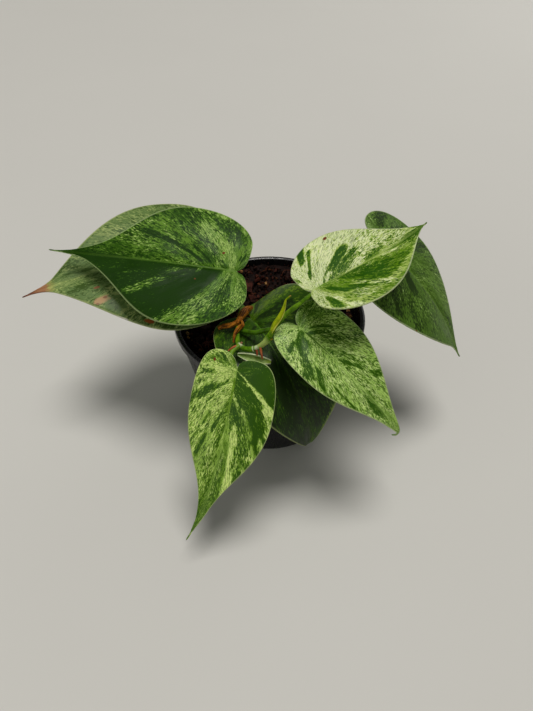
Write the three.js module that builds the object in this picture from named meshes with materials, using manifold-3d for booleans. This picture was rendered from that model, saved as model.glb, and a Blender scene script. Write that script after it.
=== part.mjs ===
// A variegated heartleaf philodendron in its nursery pot.
// Millimetres, +Z up. The origin is the middle of the pot's underside.
// +X is to the right and +Y to the back, as the plant is seen from the front.
import * as THREE from 'three';
import Module from 'manifold-3d';
import { mergeVertices } from 'three/addons/utils/BufferGeometryUtils.js';

const wasm = await Module();
wasm.setup();

// pot
const potHeight = 64;
const rimRadius = 45;
const baseRadius = 31;
const wallTop = 43.4;
const wallThickness = 1.0;
const floorThickness = 1.4;
const lipDrop = 3.4;
const lipWidth = 2.4;
const drainHole = 3.0;
const drainRing = 20;
const drainCount = 6;
const potSides = 44;

// potting mix
const mixLevel = 56.6;
const mixHeap = 4.2;
const mixSides = 26;
const chipCount = 64;
const clearance = 0.3;

// blades
const bladeThickness = 0.8;
const marginThickness = 0.62;
const rowsAlong = 20;
const columns = [0, 0.05, 0.34, 0.68, 1];
const veinDepth = 0.22;
const ribDepth = 0.75;
const rootCrowding = 3.4;
const veinBow = 1.45;

// petioles and stem
const petioleRadius = 1.05;
const stalkSides = 6;

const V = (p) => new THREE.Vector3(p[0], p[1], p[2]);
const rad = THREE.MathUtils.degToRad;
const clamp = THREE.MathUtils.clamp;

// a repeatable random draw
function seededDraw(seed) {
  let state = seed >>> 0;
  return () => {
    state = (state + 0x6d2b79f5) >>> 0;
    let t = state;
    t = Math.imul(t ^ (t >>> 15), t | 1);
    t ^= t + Math.imul(t ^ (t >>> 7), t | 61);
    return ((t ^ (t >>> 14)) >>> 0) / 4294967296;
  };
}

// geometry to solid and back
function solid(geometry) {
  const bare = geometry.clone();
  bare.deleteAttribute('normal');
  bare.deleteAttribute('uv');
  const merged = mergeVertices(bare, 1e-4);
  const index = Array.from(merged.index.array);
  const kept = [];
  for (let i = 0; i < index.length; i += 3) {
    const [a, b, c] = [index[i], index[i + 1], index[i + 2]];
    if (a !== b && b !== c && a !== c) kept.push(a, b, c);
  }
  return new wasm.Manifold(new wasm.Mesh({
    numProp: 3,
    vertProperties: new Float32Array(merged.attributes.position.array),
    triVerts: new Uint32Array(kept),
  }));
}

function shape(manifold) {
  const out = manifold.getMesh();
  const geometry = new THREE.BufferGeometry();
  geometry.setAttribute('position', new THREE.BufferAttribute(new Float32Array(out.vertProperties), 3));
  geometry.setIndex(new THREE.BufferAttribute(new Uint32Array(out.triVerts), 1));
  geometry.computeVertexNormals();
  return geometry;
}

// a stalk along a curve: a polygon is drawn along it, then each ring gets its own radius
function stalk(points, radii, options = {}) {
  const { sides = stalkSides, steps = 12, grow = 0, flat = 1 } = options;
  const curve = new THREE.CatmullRomCurve3(points.map(V), false, 'centripetal');
  const ring = [];
  for (let i = 0; i < sides; i++) {
    const a = (i / sides) * Math.PI * 2;
    ring.push(new THREE.Vector2(Math.cos(a), Math.sin(a)));
  }
  const geometry = new THREE.ExtrudeGeometry(new THREE.Shape(ring), {
    steps, extrudePath: curve, bevelEnabled: false, curveSegments: 1,
  });
  const centres = curve.getSpacedPoints(steps);
  const frames = curve.computeFrenetFrames(steps, false);
  const position = geometry.attributes.position;
  const p = new THREE.Vector3();
  const d = new THREE.Vector3();
  for (let i = 0; i < position.count; i++) {
    p.fromBufferAttribute(position, i);
    let best = 0;
    let miss = Infinity;
    for (let k = 0; k <= steps; k++) {
      d.subVectors(p, centres[k]);
      const off = Math.abs(d.dot(frames.tangents[k])) + Math.abs(d.length() - 1);
      if (off < miss) { miss = off; best = k; }
    }
    const t = (best / steps) * (radii.length - 1);
    const lower = Math.min(Math.floor(t), radii.length - 2);
    const r = THREE.MathUtils.lerp(radii[lower], radii[lower + 1], t - lower);
    d.subVectors(p, centres[best]);
    const across = d.dot(frames.normals[best]);
    const other = d.dot(frames.binormals[best]);
    p.copy(centres[best]);
    if (best === 0) p.addScaledVector(frames.tangents[0], -grow);
    if (best === steps) p.addScaledVector(frames.tangents[steps], grow);
    p.addScaledVector(frames.normals[best], across * (r * flat + grow));
    p.addScaledVector(frames.binormals[best], other * (r + grow));
    position.setXYZ(i, p.x, p.y, p.z);
  }
  return solid(geometry);
}

function ball(centre, radius, detail = 1) {
  const geometry = new THREE.IcosahedronGeometry(radius, detail);
  geometry.translate(centre[0], centre[1], centre[2]);
  return solid(geometry);
}

// The leaves. "at" is where the petiole meets the blade. Heading, rise and roll turn the blade there,
// "left" and "right" are its half widths, and droop, sweep, tipDroop and twist bend it along its length.
// Fold is the valley at the midrib, curl rounds the two halves downward, and hook turns the last bit under.
const leaves = {
  leaf_upper_left: {
    at: [-14.5, -4, 91.5], heading: 174, rise: 6, roll: -25, length: 86, left: 29, right: 29,
    droop: 12, sweep: -2, tipDroop: -7, fold: 9, curl: 17, twist: -2, shoulder: 0.27, waist: 0.78,
    lobes: [0.07, 0.06], corners: [0.6, 0.66], taper: [0.12, 0.13], belly: [0.47, 0.35],
    petiole: [[-12.3, -5, 70.8], [-15.6, -4.5, 75], [-17.5, -3.5, 82], [-16, -3.6, 88]], colour: 0x3f7a34,
  },
  leaf_lower_left: {
    at: [-32, 23.5, 81], heading: 202, rise: 10, roll: -22, length: 86, left: 37.5, right: 32,
    droop: 28, sweep: 4, tipDroop: 2, fold: 8, curl: 23, twist: -1, shoulder: 0.19, waist: 0.81,
    lobes: [0.13, 0.14], taper: [0.14, 0.11], belly: [0.53, 0.52],
    petiole: [[-11.2, 6, 60], [-16, 10.4, 63], [-24, 17, 69], [-29.5, 21.6, 76]], colour: 0x4c7a40,
  },
  leaf_upper_right: {
    at: [16.5, -33.5, 104.5], heading: 32, rise: 8, roll: 5, length: 64, left: 21, right: 20,
    droop: 5, sweep: 14, tipDroop: -2, fold: 14, curl: 13, twist: 4, shoulder: 0.29, waist: 0.85,
    lobes: [0.05, 0.04], corners: [0.56, 0.62], taper: [0.15, 0.15], belly: [0.45, 0.54],
    petiole: [[-1.8, -42, 85.4], [1.4, -38.8, 88.6], [5.6, -36.6, 94], [11.5, -36, 99.8]], colour: 0xc9d98a,
  },
  leaf_rear_right: {
    at: [52.5, 12, 92.5], heading: -31, rise: -26, roll: 4, length: 67, left: 22.5, right: 28,
    droop: 46, sweep: 1, tipDroop: -15, fold: 5, curl: 18, twist: -10, shoulder: 0.18, waist: 0.85,
    lobes: [0.24, 0.14], corners: [0.9, 0.8], taper: [0.09, 0.16], belly: [0.36, 0.69],
    petiole: [[-11.4, 4.4, 61.6], [-5, 8, 63], [8, 13, 66], [28, 17, 73], [45, 15.6, 86]], colour: 0x3a6a35,
  },
  leaf_centre_right: {
    at: [11.5, -37.5, 89.5], heading: -36.2, rise: -21, roll: 10, length: 69, hook: 95, left: 19.8, right: 15.6,
    droop: 38, sweep: 9, tipDroop: 2, fold: 8, curl: 21, twist: 4, shoulder: 0.24, waist: 0.82,
    lobes: [0.07, 0.08], taper: [0.15, 0.17], belly: [0.41, 0.48],
    petiole: [[-13.7, -25.5, 77], [-10, -28.6, 78.4], [-5.8, -31.8, 80.8], [0.5, -34, 84.6], [6.5, -36.2, 87.2]],
    colour: 0x7fb45a,
  },
  leaf_front: {
    at: [-13.3, -50.8, 78.5], heading: -107, rise: -50, roll: 4, length: 79, left: 18.6, right: 18,
    droop: 10, sweep: -22, tipDroop: -11, fold: 8, curl: 21, twist: 2, shoulder: 0.22, waist: 0.78,
    lobes: [0.06, 0.08], taper: [0.15, 0.13], belly: [0.34, 0.36],
    petiole: [[-12.6, -39, 79.7], [-15.6, -42, 79.2], [-16, -45.5, 77.8], [-14, -48.4, 76.6]], colour: 0x86b84e,
  },
  leaf_rim: {
    at: [-8.5, -13.5, 72.5], heading: -67, rise: 20, roll: 11, length: 93, left: 31, right: 23.5,
    droop: 156, sweep: 2, tipDroop: 13, fold: 11, curl: 6, twist: -7, shoulder: 0.27, waist: 0.83,
    lobes: [0.17, 0.08], corners: [0.8, 0.55], taper: [0.07, 0.13], belly: [0.29, 0.49],
    petiole: [[-11.8, 1, 65.4], [-8.6, -0.6, 63.4], [-6.4, -4.6, 63.4], [-6.9, -9.8, 67.2]], colour: 0x2f5a2a,
  },
};

// the centre line of a blade, walked in short steps from its lobes to its tip
function bladeSurface(leaf) {
  const yaw = rad(leaf.heading);
  const pitch = rad(leaf.rise);
  const roll = rad(leaf.roll);
  const ahead = new THREE.Vector3(Math.cos(pitch) * Math.cos(yaw), Math.cos(pitch) * Math.sin(yaw), Math.sin(pitch));
  const level = new THREE.Vector3(-Math.sin(yaw), Math.cos(yaw), 0);
  const over = new THREE.Vector3().crossVectors(ahead, level);
  const side = level.clone().multiplyScalar(Math.cos(roll)).addScaledVector(over, Math.sin(roll));
  const up = level.clone().multiplyScalar(-Math.sin(roll)).addScaledVector(over, Math.cos(roll));
  const length = leaf.length;
  const steps = 180;
  const start = -0.4 * length;
  const pace = (1.4 * length) / steps;
  const line = [];
  const point = new THREE.Vector3();
  let before = null;
  for (let i = 0; i <= steps; i++) {
    const x = (start + i * pace) / length;
    const droop = rad(leaf.droop) * x + rad(leaf.tipDroop) * clamp((x - 0.7) / 0.3, 0, 1) ** 2
      + rad(leaf.hook || 0) * clamp((x - 0.88) / 0.12, 0, 1);
    const sweep = rad(leaf.sweep) * clamp(x, 0, 1) ** 2;
    const flat = ahead.clone().multiplyScalar(Math.cos(sweep)).addScaledVector(side, Math.sin(sweep));
    const along = flat.clone().multiplyScalar(Math.cos(droop)).addScaledVector(up, -Math.sin(droop));
    const normal = flat.clone().multiplyScalar(Math.sin(droop)).addScaledVector(up, Math.cos(droop));
    if (before) point.addScaledVector(before.clone().add(along), pace / 2);
    before = along;
    line.push({ centre: point.clone(), normal, across: new THREE.Vector3().crossVectors(normal, along) });
  }
  const look = (u) => {
    const t = clamp((u - start) / pace, 0, steps - 1e-6);
    const k = Math.floor(t);
    const f = t - k;
    const mix = (name) => line[k][name].clone().lerp(line[k + 1][name], f);
    return { centre: mix('centre'), normal: mix('normal'), across: mix('across') };
  };
  const home = look(0).centre;
  const fold = rad(leaf.fold);
  const bend = rad(leaf.curl) / (0.5 * (leaf.left + leaf.right));
  return (u, v, lift = 0) => {
    const here = look(u);
    const twist = rad(leaf.twist) * clamp(u / length, -0.3, 1);
    const across = here.across.clone().multiplyScalar(Math.cos(twist)).addScaledVector(here.normal, Math.sin(twist));
    const normal = here.across.clone().multiplyScalar(-Math.sin(twist)).addScaledVector(here.normal, Math.cos(twist));
    const a = Math.abs(v);
    const out = ((Math.sin(fold) - Math.sin(fold - bend * a)) / bend) * Math.sign(v);
    const rise = (Math.cos(fold - bend * a) - Math.cos(fold)) / bend + lift;
    return V(leaf.at).add(here.centre).sub(home).addScaledVector(across, out).addScaledVector(normal, rise);
  };
}

// half of the heart outline: from the V notch behind the petiole, round the lobe, past the widest place, and out to the drawn-out tip
function heartOutline(lobe, shoulder, taper, belly, waist, corner = 0.8) {
  const slope = (taper - belly) / 0.22;
  const rest = 1 - waist;
  const low = Math.max(taper + slope * rest * 0.45, taper * 0.3);
  const P = (x, y) => new THREE.Vector2(x, y);
  const pieces = [
    [0.2, new THREE.CubicBezierCurve(P(-0.3 * lobe, 0.035), P(-0.65 * lobe, 0.07), P(-lobe, 0.2), P(-lobe, 0.44))],
    [0.4, new THREE.CubicBezierCurve(P(-lobe, 0.44), P(-lobe, corner), P(shoulder - 0.22, 1), P(shoulder, 1))],
    [0.8, new THREE.CubicBezierCurve(P(shoulder, 1), P(shoulder + 0.24, 1), P(waist - 0.22, belly), P(waist, taper))],
    [1.0, new THREE.CubicBezierCurve(P(waist, taper), P(waist + (low - taper) / slope, low),
      P(waist + rest * 0.6, 0.012), P(1, 0))],
  ];
  return (s) => {
    let from = 0;
    for (const [to, curve] of pieces) {
      if (s <= to || to === 1) return curve.getPoint(clamp((s - from) / (to - from), 0, 1));
      from = to;
    }
    return null;
  };
}

// a sheet laid on a surface and given thickness above and below, both faces split alike
function thickSheet(stops, rows, place, facing, depths) {
  const columnCount = stops.length - 1;
  const sheet = new THREE.PlaneGeometry(2, 1, columnCount, rows);
  const uv = sheet.attributes.uv;
  const count = uv.count;
  const flat = sheet.index.array;
  const positions = new Float32Array(count * 6);
  for (let i = 0; i < count; i++) {
    const a = stops[Math.round(uv.getX(i) * columnCount)];
    const s = uv.getY(i);
    const normal = facing(a, s);
    const [above, below] = depths(a, s);
    const middle = place(a, s);
    middle.clone().addScaledVector(normal, above).toArray(positions, i * 3);
    middle.clone().addScaledVector(normal, -below).toArray(positions, (count + i) * 3);
  }
  const index = [];
  for (let i = 0; i < flat.length; i += 3) {
    index.push(flat[i], flat[i + 1], flat[i + 2]);
    index.push(count + flat[i], count + flat[i + 2], count + flat[i + 1]);
  }
  const wide = columnCount + 1;
  const edge = [];
  for (let x = 0; x < columnCount; x++) edge.push([x + 1, x]);
  for (let y = 0; y < rows; y++) edge.push([y * wide, (y + 1) * wide]);
  for (let x = 0; x < columnCount; x++) edge.push([rows * wide + x, rows * wide + x + 1]);
  for (let y = 0; y < rows; y++) edge.push([(y + 1) * wide + columnCount, y * wide + columnCount]);
  for (const [a, b] of edge) {
    index.push(a, count + a, b, b, count + a, count + b);
  }
  const geometry = new THREE.BufferGeometry();
  geometry.setAttribute('position', new THREE.BufferAttribute(positions, 3));
  geometry.setIndex(index);
  return solid(geometry);
}

function blade(leaf, surface) {
  const corners = leaf.corners ?? [0.8, 0.8];
  const outlines = [0, 1].map((i) => heartOutline(leaf.lobes[i], leaf.shoulder, leaf.taper[i], leaf.belly[i],
    leaf.waist, corners[i]));
  // the side veins leave the midrib close to the petiole and bow toward the tip
  const onBlade = (a, s) => {
    const isLeft = a < 0;
    const edge = outlines[isLeft ? 0 : 1](s);
    const k = Math.abs(a);
    const foot = Math.pow(s, rootCrowding);
    const root = THREE.MathUtils.lerp(foot, edge.x, clamp((s - 0.65) / 0.25, 0, 1) ** 2);
    const bow = Math.pow(k, veinBow);
    return [((1 - bow) * root + bow * edge.x) * leaf.length, k * edge.y * (isLeft ? leaf.left : -leaf.right)];
  };
  const place = (a, s) => {
    const [u, v] = onBlade(a, s);
    const k = Math.abs(a);
    // sunken side veins, and a slow wave in the margin
    const vein = -veinDepth * Math.cos(s * Math.PI * 10) * Math.sin(Math.PI * clamp(k * 1.1, 0, 1));
    const wave = 0.5 * k * k * Math.sin(s * 9 + (a < 0 ? 0 : 2)) * Math.sin(Math.PI * s);
    return surface(u, v, (vein + wave) * clamp(s * 5, 0, 1) * clamp((1 - s) * 10, 0, 1));
  };
  const facing = (a, s) => {
    const [u, v] = onBlade(a, s);
    const ahead = surface(u + 1, v).sub(surface(u - 1, v));
    return ahead.cross(surface(u, v + 1).sub(surface(u, v - 1))).normalize();
  };
  const stops = [...columns.slice(1).reverse().map((k) => -k), ...columns];
  return thickSheet(stops, rowsAlong, place, facing, (a, s) => {
    const half = THREE.MathUtils.lerp(bladeThickness, marginThickness, Math.max(Math.abs(a), clamp(s * 10 - 9, 0, 1))) / 2;
    // the midrib stands out below and fades toward the tip
    return [half, a === 0 ? half + ribDepth * Math.pow(clamp(1 - s / 0.85, 0, 1), 0.6) : half];
  });
}

// main stem: up out of the mix, leaning forward, then two short pale joints to the growing end
const stemPath = [
  [-11, 8, 30], [-11, 7.6, 46], [-11.2, 6, 58], [-12, -1, 67.5], [-13, -10, 74], [-13.8, -20, 76],
  [-13.6, -30, 78], [-12.8, -38, 79.4], [-9.4, -41.2, 80], [-5.4, -41.8, 81.5], [-2, -42.4, 85], [0.2, -42.6, 88.4],
];
const stemRadii = [1.6, 1.7, 1.8, 1.8, 1.6, 1.3, 1.1, 1.0, 0.95, 0.95, 1.0, 1.3, 1.65, 1.35];

function stem(grow = 0) {
  let body = stalk(stemPath, stemRadii, { sides: 8, steps: 30, grow });
  const rootlets = [
    [[[-5.6, -42.4, 81.4], [-5.8, -44.4, 80.4], [-5.6, -45.4, 79]], [0.75, 0.65, 0.4]],
    [[[-3.2, -42.4, 83.4], [-2.6, -45, 81.4], [-2.4, -46.4, 79.4]], [0.8, 0.7, 0.45]],
    [[[-13, -39, 80], [-15.4, -40.8, 80.8], [-17, -42, 80.4]], [0.8, 0.75, 0.45]],
  ];
  for (const [points, radii] of rootlets) body = body.add(stalk(points, radii, { sides: 6, steps: 4, grow }));
  return body.add(ball([-11.2, -37.4, 81.2], 0.95 + grow, 1));
}

// the youngest leaf, still rolled, at the end of the stem
function newShoot(grow = 0) {
  const path = [[0.3, -42.8, 88.8], [1.8, -42.1, 94], [4.2, -41.2, 98.6], [5.6, -40.2, 102.6], [6.3, -39.6, 105.4], [8.1, -39, 106.9]];
  return stalk(path, [0.8, 1.15, 1.4, 1.35, 1.0, 0.6, 0.3], { sides: 7, steps: 14, grow });
}

// the open green sheath under the growing joints, boat shaped
function greenSheath() {
  const start = V([-13.4, -41.8, 77.6]);
  const end = V([0.5, -44, 75.4]);
  const along = end.clone().sub(start);
  const across = V([0.1, 0.55, 0.75]).normalize();
  const up = new THREE.Vector3().crossVectors(along, across).normalize();
  if (up.y > 0) up.negate();
  const facing = new THREE.Vector3().crossVectors(across, along).normalize();
  return thickSheet([-1, -0.5, 0, 0.5, 1], 8, (a, s) => {
    const half = 1.9 * Math.pow(Math.sin(Math.PI * clamp(0.06 + s * 0.84, 0, 1)), 0.8);
    const lift = 1.3 * a * a * Math.sin(Math.PI * clamp(0.06 + s * 0.84, 0, 1)) + 1.2 * Math.sin(Math.PI * s) - 0.6;
    return start.clone().addScaledVector(along, s).addScaledVector(across, a * half).addScaledVector(up, lift);
  }, () => facing, () => [0.35, 0.35]);
}

// the dried orange-brown sheath: it clasps the lower joint and ends in two curled ribbons
function driedSheath() {
  const wrap = stalk([[-7.9, -7, 73.6], [-9.9, -10.2, 75.6], [-11.1, -14.9, 77.6], [-12.5, -20.2, 78.8], [-14, -24.1, 79.3]],
    [1.0, 2.3, 2.4, 2.1, 1.7, 1.1], { sides: 7, steps: 10, flat: 0.42 });
  const ribbonLeft = stalk([[-13.4, -23.4, 79.2], [-17.1, -24.4, 78.2], [-19.7, -23.7, 77], [-22.2, -23.4, 75.8]],
    [1.0, 1.15, 1.05, 0.9], { sides: 6, steps: 8, flat: 0.42 });
  const ribbonDown = stalk([[-12.4, -22.4, 79.4], [-11.5, -26.4, 80.2], [-13.1, -29.2, 80.8], [-14.6, -31.8, 80], [-15.3, -34, 79], [-15.4, -35.4, 78.2]],
    [1.0, 1.2, 1.2, 1.0, 0.7, 0.5], { sides: 6, steps: 14, flat: 0.42 });
  return wrap.add(ribbonLeft).add(ribbonDown);
}

// the pot: a thin tapered wall, a rounded lip, a flat floor with drain holes
function pot() {
  const P = (x, y) => new THREE.Vector2(x, y);
  const lipFoot = potHeight - lipDrop;
  const inner = rimRadius - lipWidth;
  const profile = [
    P(0, 0), P(baseRadius - 0.8, 0), P(baseRadius, 0.8), P(wallTop, lipFoot - 0.2),
    P(rimRadius - 0.5, lipFoot), P(rimRadius, lipFoot + 0.7), P(rimRadius, potHeight - 0.9),
    P(rimRadius - 0.6, potHeight - 0.15), P(rimRadius - 1.2, potHeight), P(inner + 0.6, potHeight - 0.2),
    P(inner, potHeight - 0.9), P(wallTop - wallThickness, lipFoot - 0.6),
    P(baseRadius - wallThickness, floorThickness), P(0, floorThickness),
  ];
  const turned = new THREE.LatheGeometry(profile, potSides);
  turned.rotateX(Math.PI / 2);
  let body = solid(turned);
  for (let i = 0; i < drainCount; i++) {
    const a = ((i + 0.5) / drainCount) * Math.PI * 2;
    const hole = new THREE.CylinderGeometry(drainHole, drainHole, 8, 12);
    hole.rotateX(Math.PI / 2);
    hole.translate(drainRing * Math.cos(a), drainRing * Math.sin(a), 0);
    body = body.subtract(solid(hole));
  }
  return body;
}

// inside radius of the pot at a height
function innerRadius(z) {
  const lipFoot = potHeight - lipDrop;
  return THREE.MathUtils.lerp(baseRadius, wallTop, z / lipFoot) - wallThickness;
}

// the mix is heaped against the back wall
function heap(y) {
  return mixHeap * THREE.MathUtils.smoothstep(y, 4, 34);
}

// the potting mix: a packed body with bark chips standing out of its top
function pottingMix() {
  const draw = seededDraw(4117);
  const low = floorThickness + clearance;
  const P = (x, y) => new THREE.Vector2(x, y);
  const edge = clearance + 0.3;
  const packed = new THREE.LatheGeometry([
    P(0, low), P(innerRadius(low) - edge, low), P(innerRadius(mixLevel - 1) - edge, mixLevel - 1),
    P(innerRadius(mixLevel) - edge - 2.4, mixLevel + 0.3), P(24, mixLevel - 0.3), P(12, mixLevel + 0.5), P(0, mixLevel),
  ], mixSides);
  packed.rotateX(Math.PI / 2);
  const skin = packed.attributes.position;
  for (let k = 0; k < skin.count; k++) if (skin.getZ(k) > 50) skin.setZ(k, skin.getZ(k) + heap(skin.getY(k)));
  let body = solid(packed);
  const fence = new THREE.LatheGeometry([
    P(0, 30), P(innerRadius(30) - edge, 30), P(innerRadius(60) - edge, 60), P(innerRadius(60) - edge, 63), P(0, 63),
  ], mixSides);
  fence.rotateX(Math.PI / 2);
  const chips = [];
  for (let i = 0; i < chipCount; i++) {
    // an even spread over the disc by the sunflower rule
    const r = 40 * Math.sqrt((i + 0.5) / chipCount);
    const a = i * 2.399963 + draw() * 0.5;
    const size = [6 + 7 * draw(), 4 + 4 * draw(), 2.4 + 1.6 * draw()];
    const chip = new THREE.BoxGeometry(size[0], size[1], size[2]);
    const corner = chip.attributes.position;
    for (let k = 0; k < corner.count; k++) {
      const tall = corner.getZ(k) > 0 ? 0.78 : 1;
      const skew = corner.getX(k) > 0 ? 0.8 : 1;
      corner.setXYZ(k, corner.getX(k) * tall, corner.getY(k) * tall * skew, corner.getZ(k));
    }
    chip.rotateX((draw() - 0.5) * 0.9);
    chip.rotateY((draw() - 0.5) * 0.7);
    chip.rotateZ(draw() * Math.PI * 2);
    chip.translate(r * Math.cos(a), r * Math.sin(a), mixLevel - 0.2 + draw() * 0.8 + heap(r * Math.sin(a)));
    chips.push(solid(chip));
  }
  const inside = solid(fence);
  for (const chip of chips) body = body.add(chip.intersect(inside));
  return body;
}

const greens = { roughness: 0.42, metalness: 0 };
const group = new THREE.Group();
function place(name, manifold, colour, roughness = 0.5) {
  const bodies = manifold.decompose().sort((a, b) => b.volume() - a.volume());
  const material = new THREE.MeshStandardMaterial({ color: colour, roughness, metalness: 0 });
  const mesh = new THREE.Mesh(shape(bodies[0]), material);
  mesh.name = name;
  group.add(mesh);
}

const stemRoom = stem(clearance);
place('pot', pot(), 0x0b0b0c, 0.22);
place('potting_mix', pottingMix().subtract(stemRoom), 0x2a1711, 0.95);
place('main_stem', stem(), 0x8dae55, 0.45);

for (const [name, leaf] of Object.entries(leaves)) {
  const surface = bladeSurface(leaf);
  // the petiole runs a little way into the midrib
  const path = [...leaf.petiole, surface(0.06 * leaf.length, 0, -0.5).toArray()];
  const reach = leaf.petiole.length;
  const radii = path.map((_, i) => (i < reach ? petioleRadius : 0.8));
  const petiole = stalk(path, radii, { steps: 4 + 2 * reach });
  place(name, blade(leaf, surface).add(petiole).subtract(stemRoom), leaf.colour, greens.roughness);
}

place('new_shoot', newShoot().subtract(stemRoom), 0xb9c23f, 0.4);
place('green_sheath', greenSheath().subtract(stemRoom), 0x9fc06a, 0.45);
place('dried_sheath', driedSheath().subtract(stemRoom), 0xa2501e, 0.7);

export default group;
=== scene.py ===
import math
import random

import bpy
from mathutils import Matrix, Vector, noise


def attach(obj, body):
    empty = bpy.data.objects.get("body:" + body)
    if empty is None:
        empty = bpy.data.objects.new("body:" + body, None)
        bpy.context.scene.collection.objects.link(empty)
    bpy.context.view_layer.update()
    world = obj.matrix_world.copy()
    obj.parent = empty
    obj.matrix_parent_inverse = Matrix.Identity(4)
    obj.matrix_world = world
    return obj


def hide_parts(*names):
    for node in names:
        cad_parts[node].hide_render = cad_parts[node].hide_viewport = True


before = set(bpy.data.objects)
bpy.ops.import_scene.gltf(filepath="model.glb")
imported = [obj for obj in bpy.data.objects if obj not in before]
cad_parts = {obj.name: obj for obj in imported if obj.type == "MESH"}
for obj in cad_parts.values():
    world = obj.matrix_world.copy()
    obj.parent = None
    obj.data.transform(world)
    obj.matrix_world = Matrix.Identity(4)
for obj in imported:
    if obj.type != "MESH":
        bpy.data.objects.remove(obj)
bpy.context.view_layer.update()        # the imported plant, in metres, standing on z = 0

mm = 0.001
print("frame loaded:", len(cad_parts), "nodes")


# small helpers for modelling by hand

def deselectAll():
    bpy.ops.object.select_all(action="DESELECT")


def makeActive(piece):
    deselectAll()
    piece.select_set(True)
    bpy.context.view_layer.objects.active = piece


def startFrom(name):
    piece = bpy.context.active_object
    piece.name = name
    piece.data.name = name
    return piece


def flatGrid(name, columns, rows):
    # a flat square sheet from -1 to 1, ready to be bent
    deselectAll()
    bpy.ops.mesh.primitive_grid_add(x_subdivisions=columns, y_subdivisions=rows, size=2)
    return startFrom(name)


def editAll():
    bpy.ops.object.mode_set(mode="EDIT")
    bpy.ops.mesh.select_all(action="SELECT")


def leaveEdit():
    bpy.ops.object.mode_set(mode="OBJECT")


def thicken(piece, thickness):
    # gives a sheet the same thickness on both sides
    thick = piece.modifiers.new("thickness", "SOLIDIFY")
    thick.thickness = thickness * mm
    thick.offset = 0
    return thick


def applyAll(piece):
    makeActive(piece)
    for modifier in list(piece.modifiers):
        bpy.ops.object.modifier_apply(modifier=modifier.name)


def joinInto(piece, others):
    makeActive(piece)
    for other in others:
        other.select_set(True)
    bpy.ops.object.join()
    return piece


def settle(piece):
    makeActive(piece)
    bpy.ops.object.transform_apply(location=True, rotation=True, scale=True)


def smoothBy(piece, degrees):
    makeActive(piece)
    bpy.ops.object.shade_smooth_by_angle(angle=math.radians(degrees))


def takesPlaceOf(piece, node, slot):
    settle(piece)
    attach(piece, "root")
    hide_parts(node)
    print("made", piece.name, len(piece.data.polygons), "faces")


def clamp(value, low=0.0, high=1.0):
    return max(low, min(high, value))


def ease(value):
    value = clamp(value)
    return value * value * (3 - 2 * value)


def blendTo(low, high, share):
    return low + (high - low) * share


def evenStops(values):
    # gives each value its place, spread evenly from 0 to 1
    return [(i / (len(values) - 1), value) for i, value in enumerate(values)]


def alongStops(stops, value):
    for (start, first), (end, second) in zip(stops, stops[1:]):
        if value <= end:
            return blendTo(first, second, clamp((value - start) / (end - start)))
    return stops[-1][1]


def distancesAlong(points):
    reach = [0.0]
    for before, after in zip(points, points[1:]):
        reach.append(reach[-1] + (Vector(after) - Vector(before)).length)
    return reach


def directionAt(path, k):
    return (path[min(k + 1, len(path) - 1)] - path[max(k - 1, 0)]).normalized()


def smoothPath(points, count):
    # a soft curve through all the points, split into equal steps
    finer = 12
    knots = [Vector(p) for p in points]
    knots = [knots[0] * 2 - knots[1]] + knots + [knots[-1] * 2 - knots[-2]]
    dense = []
    for a, b, c, d in zip(knots, knots[1:], knots[2:], knots[3:]):
        t1 = (b - a).length ** 0.5
        t2 = t1 + (c - b).length ** 0.5
        t3 = t2 + (d - c).length ** 0.5
        for step in range(finer):
            t = blendTo(t1, t2, step / finer)
            ab = a.lerp(b, t / t1)
            bc = b.lerp(c, (t - t1) / (t2 - t1))
            cd = c.lerp(d, (t - t2) / (t3 - t2))
            abc = ab.lerp(bc, t / t2)
            bcd = bc.lerp(cd, (t - t1) / (t3 - t1))
            dense.append(abc.lerp(bcd, (t - t1) / (t2 - t1)))
    dense.append(knots[-2])
    reach = distancesAlong(dense)
    path = []
    k = 0
    for step in range(count + 1):
        want = reach[-1] * step / count
        while k < len(dense) - 2 and reach[k + 1] < want:
            k += 1
        share = clamp((want - reach[k]) / (reach[k + 1] - reach[k]))
        path.append(dense[k].lerp(dense[k + 1], share))
    return path


def stalk(name, points, radii, steps, roundness):
    # a bezier curve with a round bevel, turned into a mesh; points and radii in millimetres
    path = smoothPath(points, steps)
    deselectAll()
    bpy.ops.curve.primitive_bezier_curve_add(radius=mm, location=(0, 0, 0))
    curve = startFrom(name).data
    spline = curve.splines[0]
    spline.bezier_points.add(steps - 1)
    stops = evenStops(radii)
    for i, (knot, spot) in enumerate(zip(spline.bezier_points, path)):
        knot.co = spot * mm
        knot.handle_left_type = "AUTO"
        knot.handle_right_type = "AUTO"
        knot.radius = alongStops(stops, i / steps)
    curve.dimensions = "3D"
    curve.resolution_u = 2
    curve.bevel_depth = mm
    curve.bevel_resolution = roundness
    curve.use_fill_caps = True
    bpy.ops.object.convert(target="MESH")
    bpy.ops.object.shade_smooth()
    return startFrom(name)


# materials

def shade(code):
    # a colour as it looks on a screen, turned into the shader's linear values
    parts = [int(code[i:i + 2], 16) / 255 for i in (0, 2, 4)]
    parts = [p / 12.92 if p <= 0.04045 else ((p + 0.055) / 1.055) ** 2.4 for p in parts]
    return (*parts, 1.0)


def addNode(tree, kind, label="", **settings):
    node = tree.nodes.new(kind)
    node.label = label
    for key, value in settings.items():
        setattr(node, key, value)
    return node


def feed(tree, socket, value):
    if isinstance(value, bpy.types.NodeSocket):
        tree.links.new(value, socket)
    else:
        socket.default_value = value


def maths(tree, operation, first, second=0.0, third=0.0):
    node = addNode(tree, "ShaderNodeMath", operation.lower(), operation=operation)
    for socket, value in zip(node.inputs, (first, second, third)):
        feed(tree, socket, value)
    return node.outputs[0]


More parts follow.
